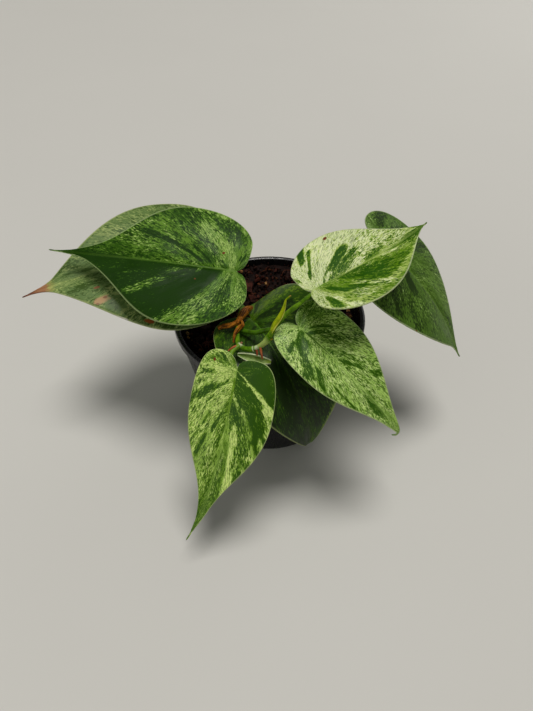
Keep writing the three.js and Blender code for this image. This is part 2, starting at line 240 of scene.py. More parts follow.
def vectorMaths(tree, operation, first, second):
    node = addNode(tree, "ShaderNodeVectorMath", operation.lower(), operation=operation)
    feed(tree, node.inputs[0], first)
    feed(tree, node.inputs[1], second)
    return node.outputs["Value"] if operation in ("DISTANCE", "LENGTH") else node.outputs[0]


def nudge(tree, value, pattern, middle, gain):
    # lifts or lowers a value where a pattern is over or under its middle
    return maths(tree, "MULTIPLY_ADD", maths(tree, "SUBTRACT", pattern, middle), gain, value)


def softStep(tree, value, low, high, fromValue=0.0, toValue=1.0):
    node = addNode(tree, "ShaderNodeMapRange", "soft step", interpolation_type="SMOOTHSTEP")
    for name, setting in (("Value", value), ("From Min", low), ("From Max", high),
                          ("To Min", fromValue), ("To Max", toValue)):
        feed(tree, node.inputs[name], setting)
    return node.outputs["Result"]


def mixColours(tree, share, first, second, way="MIX"):
    node = addNode(tree, "ShaderNodeMix", "mix", data_type="RGBA", blend_type=way)
    feed(tree, node.inputs[0], share)
    feed(tree, node.inputs[6], first)
    feed(tree, node.inputs[7], second)
    return node.outputs[2]


def cloudy(tree, vector, scale, detail, roughness, warp=0.0):
    node = addNode(tree, "ShaderNodeTexNoise", "cloudy")
    feed(tree, node.inputs["Vector"], vector)
    for name, value in (("Scale", scale), ("Detail", detail), ("Roughness", roughness), ("Distortion", warp)):
        node.inputs[name].default_value = value
    return node.outputs["Fac"]


def stretched(tree, vector, stretch, *looks):
    return cloudy(tree, vectorMaths(tree, "MULTIPLY", vector, stretch), *looks)


def objectPlace(tree):
    return addNode(tree, "ShaderNodeTexCoord").outputs["Object"]


def sheetPlace(tree):
    return addNode(tree, "ShaderNodeUVMap", uv_map="UVMap").outputs[0]


def pointValue(tree, name, output="Fac"):
    return addNode(tree, "ShaderNodeAttribute", name, attribute_name=name).outputs[output]


def partsOf(tree, vector):
    node = addNode(tree, "ShaderNodeSeparateXYZ")
    feed(tree, node.inputs[0], vector)
    return node.outputs


def newMaterial(name, roughness, specular):
    material = bpy.data.materials.new(name)
    material.use_nodes = True
    tree = material.node_tree
    shader = tree.nodes["Principled BSDF"]
    shader.inputs["Roughness"].default_value = roughness
    shader.inputs["Specular IOR Level"].default_value = specular
    return material, tree, shader


def bumpInto(tree, shader, height, strength, distance):
    bump = addNode(tree, "ShaderNodeBump")
    bump.inputs["Strength"].default_value = strength
    bump.inputs["Distance"].default_value = distance
    feed(tree, bump.inputs["Height"], height)
    tree.links.new(bump.outputs["Normal"], shader.inputs["Normal"])


def glowThrough(shader, weight, radius):
    # lets a little light through soft tissue
    shader.inputs["Subsurface Weight"].default_value = weight
    shader.inputs["Subsurface Radius"].default_value = radius


def newGroup(name, inputs, outputs):
    tree = bpy.data.node_groups.new(name, "ShaderNodeTree")
    for way, sockets in (("INPUT", inputs), ("OUTPUT", outputs)):
        for label, kind in sockets.items():
            tree.interface.new_socket(name=label, in_out=way, socket_type="NodeSocket" + kind)
    return tree, addNode(tree, "NodeGroupInput").outputs, addNode(tree, "NodeGroupOutput").inputs


def useGroup(tree, group, **settings):
    node = addNode(tree, "ShaderNodeGroup", group.name, node_tree=group)
    for key, value in settings.items():
        feed(tree, node.inputs[key], value)
    return node.outputs


# leaf tissue: four greens that run into one another along the veins, with sharp dark and pale flecks on top.
# A pattern is its stretch over the vein map, then its scale, detail, roughness and warp. A range is from, to,
# and where needed the value at each end.
tissueSettings = {
    "wide": ((6, 26, 1), 1.0, 4.0, 0.62, 0.7), "narrow": ((15, 64, 1), 1.0, 3.0, 0.65, 0.6),
    "fine": ((52, 180, 1), 1.0, 2.0, 0.6, 0.4), "darkFleck": ((31, 112, 1), 1.0, 2.0, 0.6, 0.6),
    "paleFleck": ((27, 125, 1), 1.3, 2.0, 0.6, 0.4), "crowd": ((4, 10, 1), 1.0, 2.0, 0.5, 0.5),
    "gains": {"wide": 2.4, "narrow": 2.1, "fine": 4.2},
    "toneSteps": {"Mid": (0.13, 0.29), "Light": (0.43, 0.57), "Cream": (0.70, 0.87)},
    "crowding": (0.36, 0.62, 0.35, 1.35), "darkLimit": 0.68, "darkSpread": -0.25, "darkEdge": 0.035,
    "darkShows": (1.0, 0.45, 0.4, 0.9), "paleEdge": (0.59, 0.66), "paleShows": (0.10, 0.35, 0.0, 0.7),
    "drift": ((0.74, 0.78, 0.70, 1), (1.22, 1.18, 1.16, 1)), "driftScale": 90.0, "grainScale": 1500.0,
    "grainHeight": 0.35, "sheen": 0.9, "roughness": (0.3, 0.7, 0.32, 0.55)}


def buildMarbling(settings):
    tree, given, out = newGroup("leafMarbling", {
        "Pale": "Float", "Veins": "Vector", "Blade": "Vector", "Seed": "Float", "Streak": "Float",
        "Fleck": "Float", "Dark": "Color", "Mid": "Color", "Light": "Color", "Cream": "Color"},
        {"Color": "Color", "Height": "Float", "Roughness": "Float"})
    shift = addNode(tree, "ShaderNodeCombineXYZ").outputs[0]
    for socket in shift.node.inputs:
        feed(tree, socket, given["Seed"])
    veins = vectorMaths(tree, "ADD", given["Veins"], shift)
    blade = vectorMaths(tree, "ADD", given["Blade"], shift)
    wide, narrow, fine, darkFleck, paleFleck, crowd = [
        stretched(tree, veins, *settings[name])
        for name in ("wide", "narrow", "fine", "darkFleck", "paleFleck", "crowd")]
    # flecks crowd together in some places and thin out in others
    flecking = maths(tree, "MULTIPLY", given["Fleck"], softStep(tree, crowd, *settings["crowding"]))
    total = given["Pale"]
    for pattern, name, weight in ((wide, "wide", given["Streak"]), (narrow, "narrow", flecking),
                                  (fine, "fine", flecking)):
        centred = maths(tree, "MULTIPLY", maths(tree, "SUBTRACT", pattern, 0.5), settings["gains"][name])
        total = maths(tree, "MULTIPLY_ADD", centred, weight, total)
    colour = given["Dark"]
    for tone, (low, high) in settings["toneSteps"].items():
        colour = mixColours(tree, softStep(tree, total, low, high), colour, given[tone])
    # dark flecks show on the pale tissue and pale ones on the tissue between
    limit = maths(tree, "MULTIPLY_ADD", given["Fleck"], settings["darkSpread"], settings["darkLimit"])
    specks = softStep(tree, darkFleck, limit, maths(tree, "ADD", limit, settings["darkEdge"]))
    specks = maths(tree, "MULTIPLY", specks, softStep(tree, total, *settings["darkShows"]))
    colour = mixColours(tree, specks, colour, given["Dark"])
    dots = softStep(tree, paleFleck, *settings["paleEdge"])
    dots = maths(tree, "MULTIPLY", dots, softStep(tree, total, *settings["paleShows"]))
    colour = mixColours(tree, dots, colour, given["Light"])
    slow = cloudy(tree, blade, settings["driftScale"], 2.0, 0.5)
    colour = mixColours(tree, 1.0, colour, mixColours(tree, slow, *settings["drift"]), "MULTIPLY")
    feed(tree, out["Color"], colour)
    grain = cloudy(tree, blade, settings["grainScale"], 2.0, 0.6)
    feed(tree, out["Height"], maths(tree, "MULTIPLY_ADD", grain, settings["grainHeight"], narrow))
    satin = nudge(tree, slow, wide, 0.5, settings["sheen"])
    feed(tree, out["Roughness"], softStep(tree, satin, *settings["roughness"]))
    return tree


# fine grain for bark, stalks and plastic: a colour that drifts between two tones, a height and a mask
def buildGrain():
    tree, given, out = newGroup("plantGrain", {
        "Place": "Vector", "Scale": "Vector", "Low": "Color", "High": "Color", "Contrast": "Float"},
        {"Color": "Color", "Height": "Float", "Mask": "Float"})
    place = vectorMaths(tree, "MULTIPLY", given["Place"], given["Scale"])
    coarse = cloudy(tree, place, 300.0, 4.0, 0.6, 0.3)
    fine = cloudy(tree, place, 1500.0, 3.0, 0.6)
    low = maths(tree, "SUBTRACT", 0.5, given["Contrast"])
    high = maths(tree, "ADD", 0.5, given["Contrast"])
    mask = softStep(tree, nudge(tree, coarse, fine, 0.5, 0.4), low, high)
    feed(tree, out["Color"], mixColours(tree, mask, given["Low"], given["High"]))
    height = maths(tree, "ADD", maths(tree, "MULTIPLY", coarse, 0.6), maths(tree, "MULTIPLY", fine, 0.4))
    feed(tree, out["Height"], height)
    feed(tree, out["Mask"], mask)
    return tree


marbling = buildMarbling(tissueSettings)
plantGrain = buildGrain()


def grained(tree, place, tones, stretch, contrast):
    low, high = [shade(tone) if isinstance(tone, str) else tone for tone in tones]
    return useGroup(tree, plantGrain, Place=place, Scale=stretch, Low=low, High=high, Contrast=contrast)


# the nursery pot: thin, black and glossy, with a rolled lip; bands are heights in metres
potSettings = {
    "height": 64.0, "rim": 45.0, "base": 31.0, "wallTop": 43.4, "wall": 1.0, "floor": 1.4,
    "lipDrop": 3.4, "lipWidth": 2.4, "sides": 128, "holeRing": 20.0, "holeRadius": 3.0, "holes": 6,
    "holeSides": 32, "smoothing": 32, "black": ("0c0c0d", "141416"), "splash": "4a3a30",
    "lipBand": (0.050, 0.064), "footBand": (0.012, 0.0), "roughness": (0.35, 0.8, 0.2, 0.55)}


def blackPlastic(settings):
    material, tree, shader = newMaterial("blackPlastic", 0.2, 0.5)
    place = objectPlace(tree)
    grain = grained(tree, place, settings["black"], (0.5, 0.5, 0.5), 0.18)
    # splashes of dried mix cling to the wall below the lip and round the foot
    height = partsOf(tree, place)[2]
    nearLip = softStep(tree, height, *settings["lipBand"])
    nearFoot = softStep(tree, height, *settings["footBand"])
    splash = softStep(tree, cloudy(tree, place, 420.0, 5.0, 0.7), 0.60, 0.70)
    where = maths(tree, "MULTIPLY", splash, maths(tree, "MAXIMUM", nearLip, nearFoot))
    colour = mixColours(tree, maths(tree, "MULTIPLY", where, 0.6), grain["Color"], shade(settings["splash"]))
    feed(tree, shader.inputs["Base Color"], colour)
    scuff = stretched(tree, place, (1, 1, 0.12), 700.0, 4.0, 0.65)
    dull = maths(tree, "MAXIMUM", scuff, where)
    feed(tree, shader.inputs["Roughness"], softStep(tree, dull, *settings["roughness"]))
    bumpInto(tree, shader, grain["Height"], 0.12, 0.0003)
    return material


def makePot(settings):
    top = settings["height"]
    lipFoot = top - settings["lipDrop"]
    rim = settings["rim"]
    inner = rim - settings["lipWidth"]
    foot = settings["base"]
    wallTop = settings["wallTop"]
    wall = settings["wall"]
    floorTop = settings["floor"]
    # the profile from the middle of the underside, up the outside, over the lip and down inside
    profile = [(foot - 0.8, 0.0), (foot - 0.2, 0.2), (foot, 0.8), (foot + 0.25, 1.8),
               (wallTop, lipFoot - 0.4), (wallTop + 0.4, lipFoot), (rim - 0.5, lipFoot + 0.05),
               (rim - 0.1, lipFoot + 0.3), (rim, lipFoot + 0.8), (rim, top - 1.0), (rim - 0.2, top - 0.4),
               (rim - 0.7, top - 0.08), (rim - 1.2, top), (inner + 0.6, top - 0.15),
               (inner + 0.15, top - 0.5), (inner, top - 1.1), (wallTop - wall, lipFoot - 0.6),
               (foot - wall + 0.3, floorTop + 0.9), (foot - wall - 0.5, floorTop)]
    deselectAll()
    bpy.ops.mesh.primitive_circle_add(vertices=settings["sides"], radius=profile[0][0] * mm,
                                      fill_type="NOTHING")
    pot = startFrom("nurseryPot")
    editAll()
    bpy.ops.mesh.edge_face_add()
    bpy.ops.mesh.select_mode(type="EDGE")
    bpy.ops.mesh.select_all(action="SELECT")
    bpy.ops.mesh.region_to_loop()
    for (oldRadius, oldHeight), (radius, height) in zip(profile, profile[1:]):
        bpy.ops.mesh.extrude_edges_move(TRANSFORM_OT_translate={"value": (0, 0, (height - oldHeight) * mm)})
        ratio = radius / oldRadius
        bpy.ops.transform.resize(value=(ratio, ratio, 1), center_override=(0, 0, height * mm))
    bpy.ops.mesh.edge_face_add()
    bpy.ops.mesh.select_all(action="SELECT")
    bpy.ops.mesh.normals_make_consistent(inside=False)
    leaveEdit()
    cutters = []
    ring = settings["holeRing"] * mm
    for i in range(settings["holes"]):
        angle = (i + 0.5) / settings["holes"] * math.tau
        spot = (ring * math.cos(angle), ring * math.sin(angle), 0)
        deselectAll()
        bpy.ops.mesh.primitive_cylinder_add(
            vertices=settings["holeSides"], radius=settings["holeRadius"] * mm, depth=8 * mm, location=spot)
        cutters.append(startFrom("drainCutter"))
    cutter = joinInto(cutters[0], cutters[1:])
    cut = pot.modifiers.new("drainHoles", "BOOLEAN")
    cut.operation = "DIFFERENCE"
    cut.solver = "EXACT"
    cut.object = cutter
    applyAll(pot)
    bpy.data.objects.remove(cutter)
    smoothBy(pot, settings["smoothing"])
    pot.data.materials.append(blackPlastic(settings))
    return pot


takesPlaceOf(makePot(potSettings), "pot", "pot_plastic")


# the potting mix: chunky bark and coco chips with a few grains of perlite; a bark is its name, two tones and
# roughness, a chip size is its length, width, height and raggedness, and a kind is its place in the barks
mixSettings = {
    "level": 56.4, "heap": 4.2, "radius": 41.3, "footRadius": 29.4, "floor": 1.9, "sides": 84, "rings": 20,
    "chips": 170, "crumbs": 1250, "wallCrumbs": 150, "fibres": 90, "tallest": 62.6, "seed": 23,
    "smoothing": 28, "lumps": [(260, 1.4), (800, 0.8)], "edgeDip": 1.6, "chipTurn": 2.399963,
    "barks": [("darkBark", "0d0503", "1c0b06", 0.8), ("brownBark", "190a06", "30140b", 0.75),
              ("redBark", "2a0f08", "4c2012", 0.7), ("perlite", "8f6238", "c49660", 0.85),
              ("cocoFibre", "38180b", "5c3016", 0.7), ("tanBark", "34190c", "643a20", 0.75),
              ("rustBark", "220b05", "4e1e0c", 0.7)],
    "chipSizes": [((8.5, 4.6, 2.6), 0.55), ((6.2, 3.8, 2.4), 0.6), ((10.5, 3.4, 1.8), 0.45),
                  ((4.2, 3.2, 2.2), 0.5), ((3.0, 2.4, 1.8), 0.4)],
    "chipShares": (0, 1, 1, 2, 3, 3, 3, 4, 4), "chipKinds": (0, 0, 1, 1, 2),
    "crumbRadius": 0.9, "crumbKinds": (0, 0, 1, 1, 1, 2, 2, 5), "wallKinds": (1, 1, 2, 5),
    "wallRing": 41.9, "wallFrom": 58.4, "wallBand": 3.4, "fibreReach": 37, "fibreKind": 4,
    "redChip": {"at": (-10.3, 22.6, 58.4), "turn": (0.25, -0.3, 1.45), "scale": (0.68, 0.72, 0.8), "kind": 6},
    "perliteSize": ((1.9, 1.7, 1.5), 0.25), "perliteScale": 0.6, "perliteKind": 3,
    "perliteAt": [(-1.8, 24.0, 59.2), (38.2, 7.4, 58.8), (37.0, 10.2, 58.6), (39.0, 3.5, 58.6),
                  (-38.2, -8.5, 58.6), (-37.6, -11.5, 58.8), (-39.0, -4.8, 58.6), (-14.0, 33.0, 58.6),
                  (12.5, 31.0, 58.4), (24.0, 22.0, 58.4), (-33.0, 16.0, 58.4), (20.0, -30.0, 58.4)]}


def barkMaterial(name, low, high, roughness):
    material, tree, shader = newMaterial(name, roughness, 0.14)
    grain = grained(tree, objectPlace(tree), (low, high), (1.0, 1.0, 1.6), 0.16)
    feed(tree, shader.inputs["Base Color"], grain["Color"])
    worn = softStep(tree, grain["Mask"], 0.0, 1.0, roughness + 0.1, roughness - 0.12)
    feed(tree, shader.inputs["Roughness"], worn)
    bumpInto(tree, shader, grain["Height"], 0.7, 0.0008)
    return material


def heap(y):
    # the mix is heaped against the back wall
    return mixSettings["heap"] * ease((y - 4) / 30)


def topOf(x, y):
    # height of the lumpy surface, in millimetres, which dips along the wall except at the back
    spot = Vector((x, y, mixSettings["level"])) * mm
    lump = sum(noise.noise(spot * scale) * height for scale, height in mixSettings["lumps"])
    dip = mixSettings["edgeDip"] * ease((math.hypot(x, y) - 34) / 8) * (1 - 0.9 * ease((y - 14) / 18))
    return mixSettings["level"] + lump - dip + heap(y)


def mixEdge(settings):
    # the mix reaches this far from the middle at its level
    return blendTo(settings["footRadius"], settings["radius"] + 0.6, clamp(settings["level"] / 60.6)) - 0.4


def chipModel(name, size, raggedness, draw):
    deselectAll()
    bpy.ops.mesh.primitive_cube_add(size=mm)
    chip = startFrom(name)
    editAll()
    bpy.ops.mesh.subdivide(number_cuts=1, smoothness=0.35)
    bpy.ops.transform.resize(value=size)
    leaveEdit()
    for vertex in chip.data.vertices:
        push = Vector((draw.uniform(-1, 1), draw.uniform(-1, 1), draw.uniform(-1, 1)))
        vertex.co += push * raggedness * mm
    return chip


def crumbModel(radius, draw):
    deselectAll()
    bpy.ops.mesh.primitive_ico_sphere_add(subdivisions=1, radius=radius * mm)
    crumb = startFrom("crumbModel")
    for vertex in crumb.data.vertices:
        vertex.co *= draw.uniform(0.65, 1.25)
    return crumb


def copyOf(model, name, place, turn, scale, kind):
    twin = model.copy()
    twin.data = model.data.copy()
    twin.name = name
    bpy.context.scene.collection.objects.link(twin)
    twin.location = Vector(place) * mm
    twin.rotation_euler = turn
    twin.scale = scale
    twin["kind"] = kind
    return twin


def anyTurn(draw):
    return [draw.uniform(0, 3) for _ in range(3)]


def mixBody(settings):
    # a tapered body fills the pot, with rings on top that are pushed into lumps
    deselectAll()
    tall = (settings["level"] - settings["floor"]) * mm
    bpy.ops.mesh.primitive_cylinder_add(
        vertices=settings["sides"], radius=settings["radius"] * mm, depth=tall,
        location=(0, 0, settings["floor"] * mm + tall / 2))
    body = startFrom("pottingMix")
    settle(body)
    for vertex in body.data.vertices:
        if vertex.co.z < settings["level"] * mm / 2:
            vertex.co.xy *= settings["footRadius"] / settings["radius"]
    for face in body.data.polygons:
        face.select = face.normal.z > 0.9
    bpy.ops.object.mode_set(mode="EDIT")
    bpy.ops.mesh.select_mode(type="FACE")
    for _ in range(settings["rings"]):
        bpy.ops.mesh.inset(thickness=settings["radius"] * mm / (settings["rings"] + 1), depth=0)
    bpy.ops.mesh.poke()
    leaveEdit()
    for vertex in body.data.vertices:
        if vertex.co.z > (settings["level"] - 0.1) * mm:
            vertex.co.z = topOf(vertex.co.x / mm, vertex.co.y / mm) * mm
    return body


def looseFibres(settings, edge, draw):
    # bowed coco fibres lie on top, and those that would reach the pot are left out
    fibres = []
    for _ in range(settings["fibres"]):
        angle = draw.uniform(0, math.tau)
        away = settings["fibreReach"] * math.sqrt(draw.random())
        lift = settings["level"] + draw.uniform(1.0, 2.4) + heap(away * math.sin(angle))
        middle = Vector((away * math.cos(angle), away * math.sin(angle), lift))
        turn = draw.uniform(0, math.tau)
        half = Vector((math.cos(turn), math.sin(turn), draw.uniform(-0.2, 0.2))) * draw.uniform(2.0, 5.5)
        bow = Vector((-math.sin(turn), math.cos(turn), 0.5)) * draw.uniform(-1.6, 1.6)
        ends = [middle - half, middle + bow, middle + half]
        if max(end.xy.length for end in ends) <= edge - 0.6:
            fibres.append(stalk("cocoFibre", ends, [0.12, 0.16, 0.09], 4, 0))
    return fibres


def makeMix(settings):
    draw = random.Random(settings["seed"])
    body = mixBody(settings)
    palette = [barkMaterial(*looks) for looks in settings["barks"]]
    edge = mixEdge(settings)
    fibres = looseFibres(settings, edge, draw)
    for fibreShade in fibres:
        fibreShade.data.materials.append(palette[settings["fibreKind"]])
    models = [chipModel("barkModel", size, raggedness, draw) for size, raggedness in settings["chipSizes"]]
    # each chip is turned on by the golden angle, which spreads them evenly
    pieces = []
    for i in range(settings["chips"]):
        spread = math.sqrt((i + 0.5) / settings["chips"])
        angle = i * settings["chipTurn"] + draw.uniform(-0.2, 0.2)
        model = models[draw.choice(settings["chipShares"])]
        size = draw.uniform(0.5, 0.95)
        reach = spread * (edge - 0.5 * max(model.dimensions.x, 0.004) / mm * size)
        x = reach * math.cos(angle)
        y = reach * math.sin(angle)
        lift = min(settings["level"] + draw.uniform(-0.5, 1.3) + heap(y), settings["tallest"] - 1.6)
        turn = (draw.uniform(-0.5, 0.5), draw.uniform(-0.45, 0.45), draw.uniform(0, math.tau))
        scale = (size, size * draw.uniform(0.8, 1.2), size)
        kind = draw.choice(settings["chipKinds"])
        pieces.append(copyOf(model, "barkChip", (x, y, lift), turn, scale, kind))
    # one large red chip shows behind the stem
    red = settings["redChip"]
    x, y, lift = red["at"]
    place = (x, y, lift + heap(y))
    pieces.append(copyOf(models[0], "redChip", place, red["turn"], red["scale"], red["kind"]))
    # small crumbs fill the gaps between the chips
    crumbModels = [crumbModel(settings["crumbRadius"], draw) for _ in range(3)]
    for _ in range(settings["crumbs"]):
        angle = draw.uniform(0, math.tau)
        away = (edge - 1.4) * math.sqrt(draw.random())
        x = away * math.cos(angle)
        y = away * math.sin(angle)
        model = draw.choice(crumbModels)
        lift = topOf(x, y) + draw.uniform(0.0, 1.1)
        turn = anyTurn(draw)
        size = draw.uniform(0.5, 1.25)
        scale = (size * draw.uniform(0.8, 1.6), size, size * draw.uniform(0.6, 1.0))
        kind = draw.choice(settings["crumbKinds"])
        pieces.append(copyOf(model, "crumb", (x, y, lift), turn, scale, kind))
    # some cling to the back wall under the lip
    for _ in range(settings["wallCrumbs"]):
        angle = math.radians(draw.uniform(20, 160))
        lift = settings["wallFrom"] + settings["wallBand"] * draw.random() ** 1.6
        place = (settings["wallRing"] * math.cos(angle), settings["wallRing"] * math.sin(angle), lift)
        model = draw.choice(crumbModels)
        turn = anyTurn(draw)
        scale = (draw.uniform(0.25, 0.55),) * 3
        kind = draw.choice(settings["wallKinds"])
        pieces.append(copyOf(model, "wallCrumb", place, turn, scale, kind))
    grainModel = chipModel("perliteModel", *settings["perliteSize"], draw)
    for x, y, lift in settings["perliteAt"]:
        pieces.append(copyOf(grainModel, "perliteGrain", (x, y, lift + heap(y)), anyTurn(draw),
                             (settings["perliteScale"],) * 3, settings["perliteKind"]))
    body.data.materials.append(palette[0])
    for piece in pieces:
        piece.data.materials.append(palette[piece["kind"]])
    for model in models + crumbModels + [grainModel]:
        bpy.data.objects.remove(model)
    joinInto(body, pieces + fibres)
    smoothBy(body, settings["smoothing"])
    return body


takesPlaceOf(makeMix(mixSettings), "potting_mix", "bark_mix")


# the main stem, with the rootlets and the pale youngest joint; a tint is its place, reach and colour, and the
# places of scars and collar are shares of the stem's length
stemSettings = {
    "path": [(-11, 8, 30), (-11, 7.6, 46), (-11.2, 6, 58), (-12, -1, 67.5), (-13, -10, 74), (-13.8, -20, 76),
             (-13.6, -30, 78), (-12.8, -38, 79.4), (-9.4, -41.2, 80), (-5.4, -41.8, 81.5), (-2, -42.4, 85),
             (0.2, -42.6, 88.4)],
    "radii": [1.6, 1.65, 1.7, 1.75, 1.8, 1.8, 1.8, 1.7, 1.55, 1.4, 1.2, 1.1, 1.0, 0.95, 0.9, 0.85, 0.85, 0.85,
              0.85, 0.85, 0.9, 1.1, 1.2, 1.2, 1.0, 1.3, 1.45],
    "rootlets": [([(-5.4, -42.6, 81.2), (-5.2, -43.8, 80), (-5.2, -44.2, 79.4)], [0.5, 0.42, 0.26]),
                 ([(-3.9, -42.4, 83), (-3.4, -44.8, 81), (-3, -46, 79.2)], [0.55, 0.48, 0.3]),
                 ([(-13, -39, 80), (-15.2, -40.6, 80.4), (-17.2, -42, 79.8)], [0.6, 0.55, 0.3])],
    "bud": ([(-12.2, -38, 80), (-11.4, -37.7, 80.7)], [0.5, 0.46]), "steps": 56,
    "scarsAt": (0.34, 0.47, 0.62), "scarWidth": 0.22, "collarAt": 0.905, "collarWidth": 0.26,
    "ringRadius": 1.0, "green": ("3a6400", "6c9a14"), "pink": ("8a3c1c", "b8683c"),
    "tan": ("8a5f42", "b58a66"), "cream": ("b4c088", "dde3c0"),
    "tints": [((-2.6, -42.2, 84.6), 4.2, "aabf62"), ((-5.4, -42.2, 82), 1.0, "cfd8ae"),
              ((-12, -38.6, 80.4), 1.3, "c4cba0"), ((1.1, -43.8, 88), 0.5, "c05a26"),
              ((-12, 3, 61), 5.0, "444e18")]}


def stalkMaterial(name, tones, tints=(), roughness=0.4, specular=0.2):
    # a tint, (place in mm, reach in mm, colour), colours the stalk near a place
    material, tree, shader = newMaterial(name, roughness, specular)
    place = objectPlace(tree)
    grain = grained(tree, place, tones, (1.0, 1.0, 0.7), 0.2)
    colour = grain["Color"]
    for spot, reach, code in tints:
        near = vectorMaths(tree, "DISTANCE", place, tuple(v * mm for v in spot))
        ragged = maths(tree, "MULTIPLY_ADD", grain["Height"], 2 * mm, near)
        share = softStep(tree, ragged, (reach + 1.6) * mm, (reach * 0.6 + 0.6) * mm)
        colour = mixColours(tree, share, colour, shade(code))
    feed(tree, shader.inputs["Base Color"], colour)
    dull = softStep(tree, grain["Mask"], 0, 1, roughness - 0.06, roughness + 0.1)
    feed(tree, shader.inputs["Roughness"], dull)
    glowThrough(shader, 0.08, (0.001, 0.002, 0.0006))
    bumpInto(tree, shader, grain["Height"], 0.25, 0.0003)
    return material


def ringOn(name, path, at, radius, width):
    # a low ring round the stalk, at a share of its length
    k = int(at * (len(path) - 1))
    deselectAll()
    bpy.ops.mesh.primitive_torus_add(major_radius=radius * mm, minor_radius=width * mm, major_segments=20,
                                     minor_segments=8, location=path[k] * mm,
                                     rotation=directionAt(path, k).to_track_quat("Z", "Y").to_euler())
    ring = startFrom(name)
    bpy.ops.object.shade_smooth()
    return ring


def makeStem(settings):
    stem = stalk("mainStem", settings["path"], settings["radii"], settings["steps"], 4)
    green = stalkMaterial("stemGreen", settings["green"], settings["tints"], specular=0.12)
    stem.data.materials.append(green)
    pink = stalkMaterial("rootletPink", settings["pink"], roughness=0.6)
    tan = stalkMaterial("budTan", settings["tan"], roughness=0.6)
    cream = stalkMaterial("collarCream", settings["cream"], roughness=0.5)
    sprouts = [(shape, pink) for shape in settings["rootlets"]] + [(settings["bud"], tan)]
    parts = []
    for (points, radii), finish in sprouts:
        rootlet = stalk("rootlet", points, radii, 8, 2)
        rootlet.data.materials.append(finish)
        parts.append(rootlet)
    # old leaf scars make low rings round the stem, and a pale collar stands where the youngest joint starts
    path = smoothPath(settings["path"], settings["steps"])
    rings = [("leafScar", at, settings["scarWidth"], green) for at in settings["scarsAt"]]
    rings.append(("paleCollar", settings["collarAt"], settings["collarWidth"], cream))
    for name, at, width, finish in rings:
        ring = ringOn(name, path, at, settings["ringRadius"], width)
        ring.data.materials.append(finish)
        parts.append(ring)
    return joinInto(stem, parts)


takesPlaceOf(makeStem(stemSettings), "main_stem", "stem_green")


# the leaves; all lengths in millimetres, all turns in degrees. A dry tone has where it starts, where it is
# full, how much it covers and its colour
leafSettings = {
    "rows": 160, "columns": 72, "thickness": 0.62, "rootCrowding": 3.4, "veinBow": 1.45, "veinDepth": 0.22,
    "sideVeins": 5, "waveHeight": 0.5, "waveTurns": 9, "waveShift": 2, "grooveDepth": 0.3, "grooveWidth": 0.9,
    "spineSteps": 180, "spineBehind": 0.4, "midribHalf": (0.9, 0.25), "marginAndGlintBand": (0.490, 0.4985),
    # the margin tint gives the pale margin and a painted highlight where the leaf's edge catches light
    "marginAndGlintTint": "cdd6b0", "dryEdge": "8f5a3c",
    "dryTones": [(0.25, 0.45, 0.6, "a9a558"), (0.42, 0.55, 1.0, "a87752"), (0.75, 1.0, 1.0, "6e3f2b")],
    "petioleFoot": 1.3, "petioleRadius": 1.05, "petioleStops": 24, "petioleSteps": 44, "ribSink": 0.42,
    "ribFrom": 0.8, "ribTo": 0.22, "ribAt": (0.06, 0.14, 0.24, 0.36, 0.5, 0.64, 0.78)}

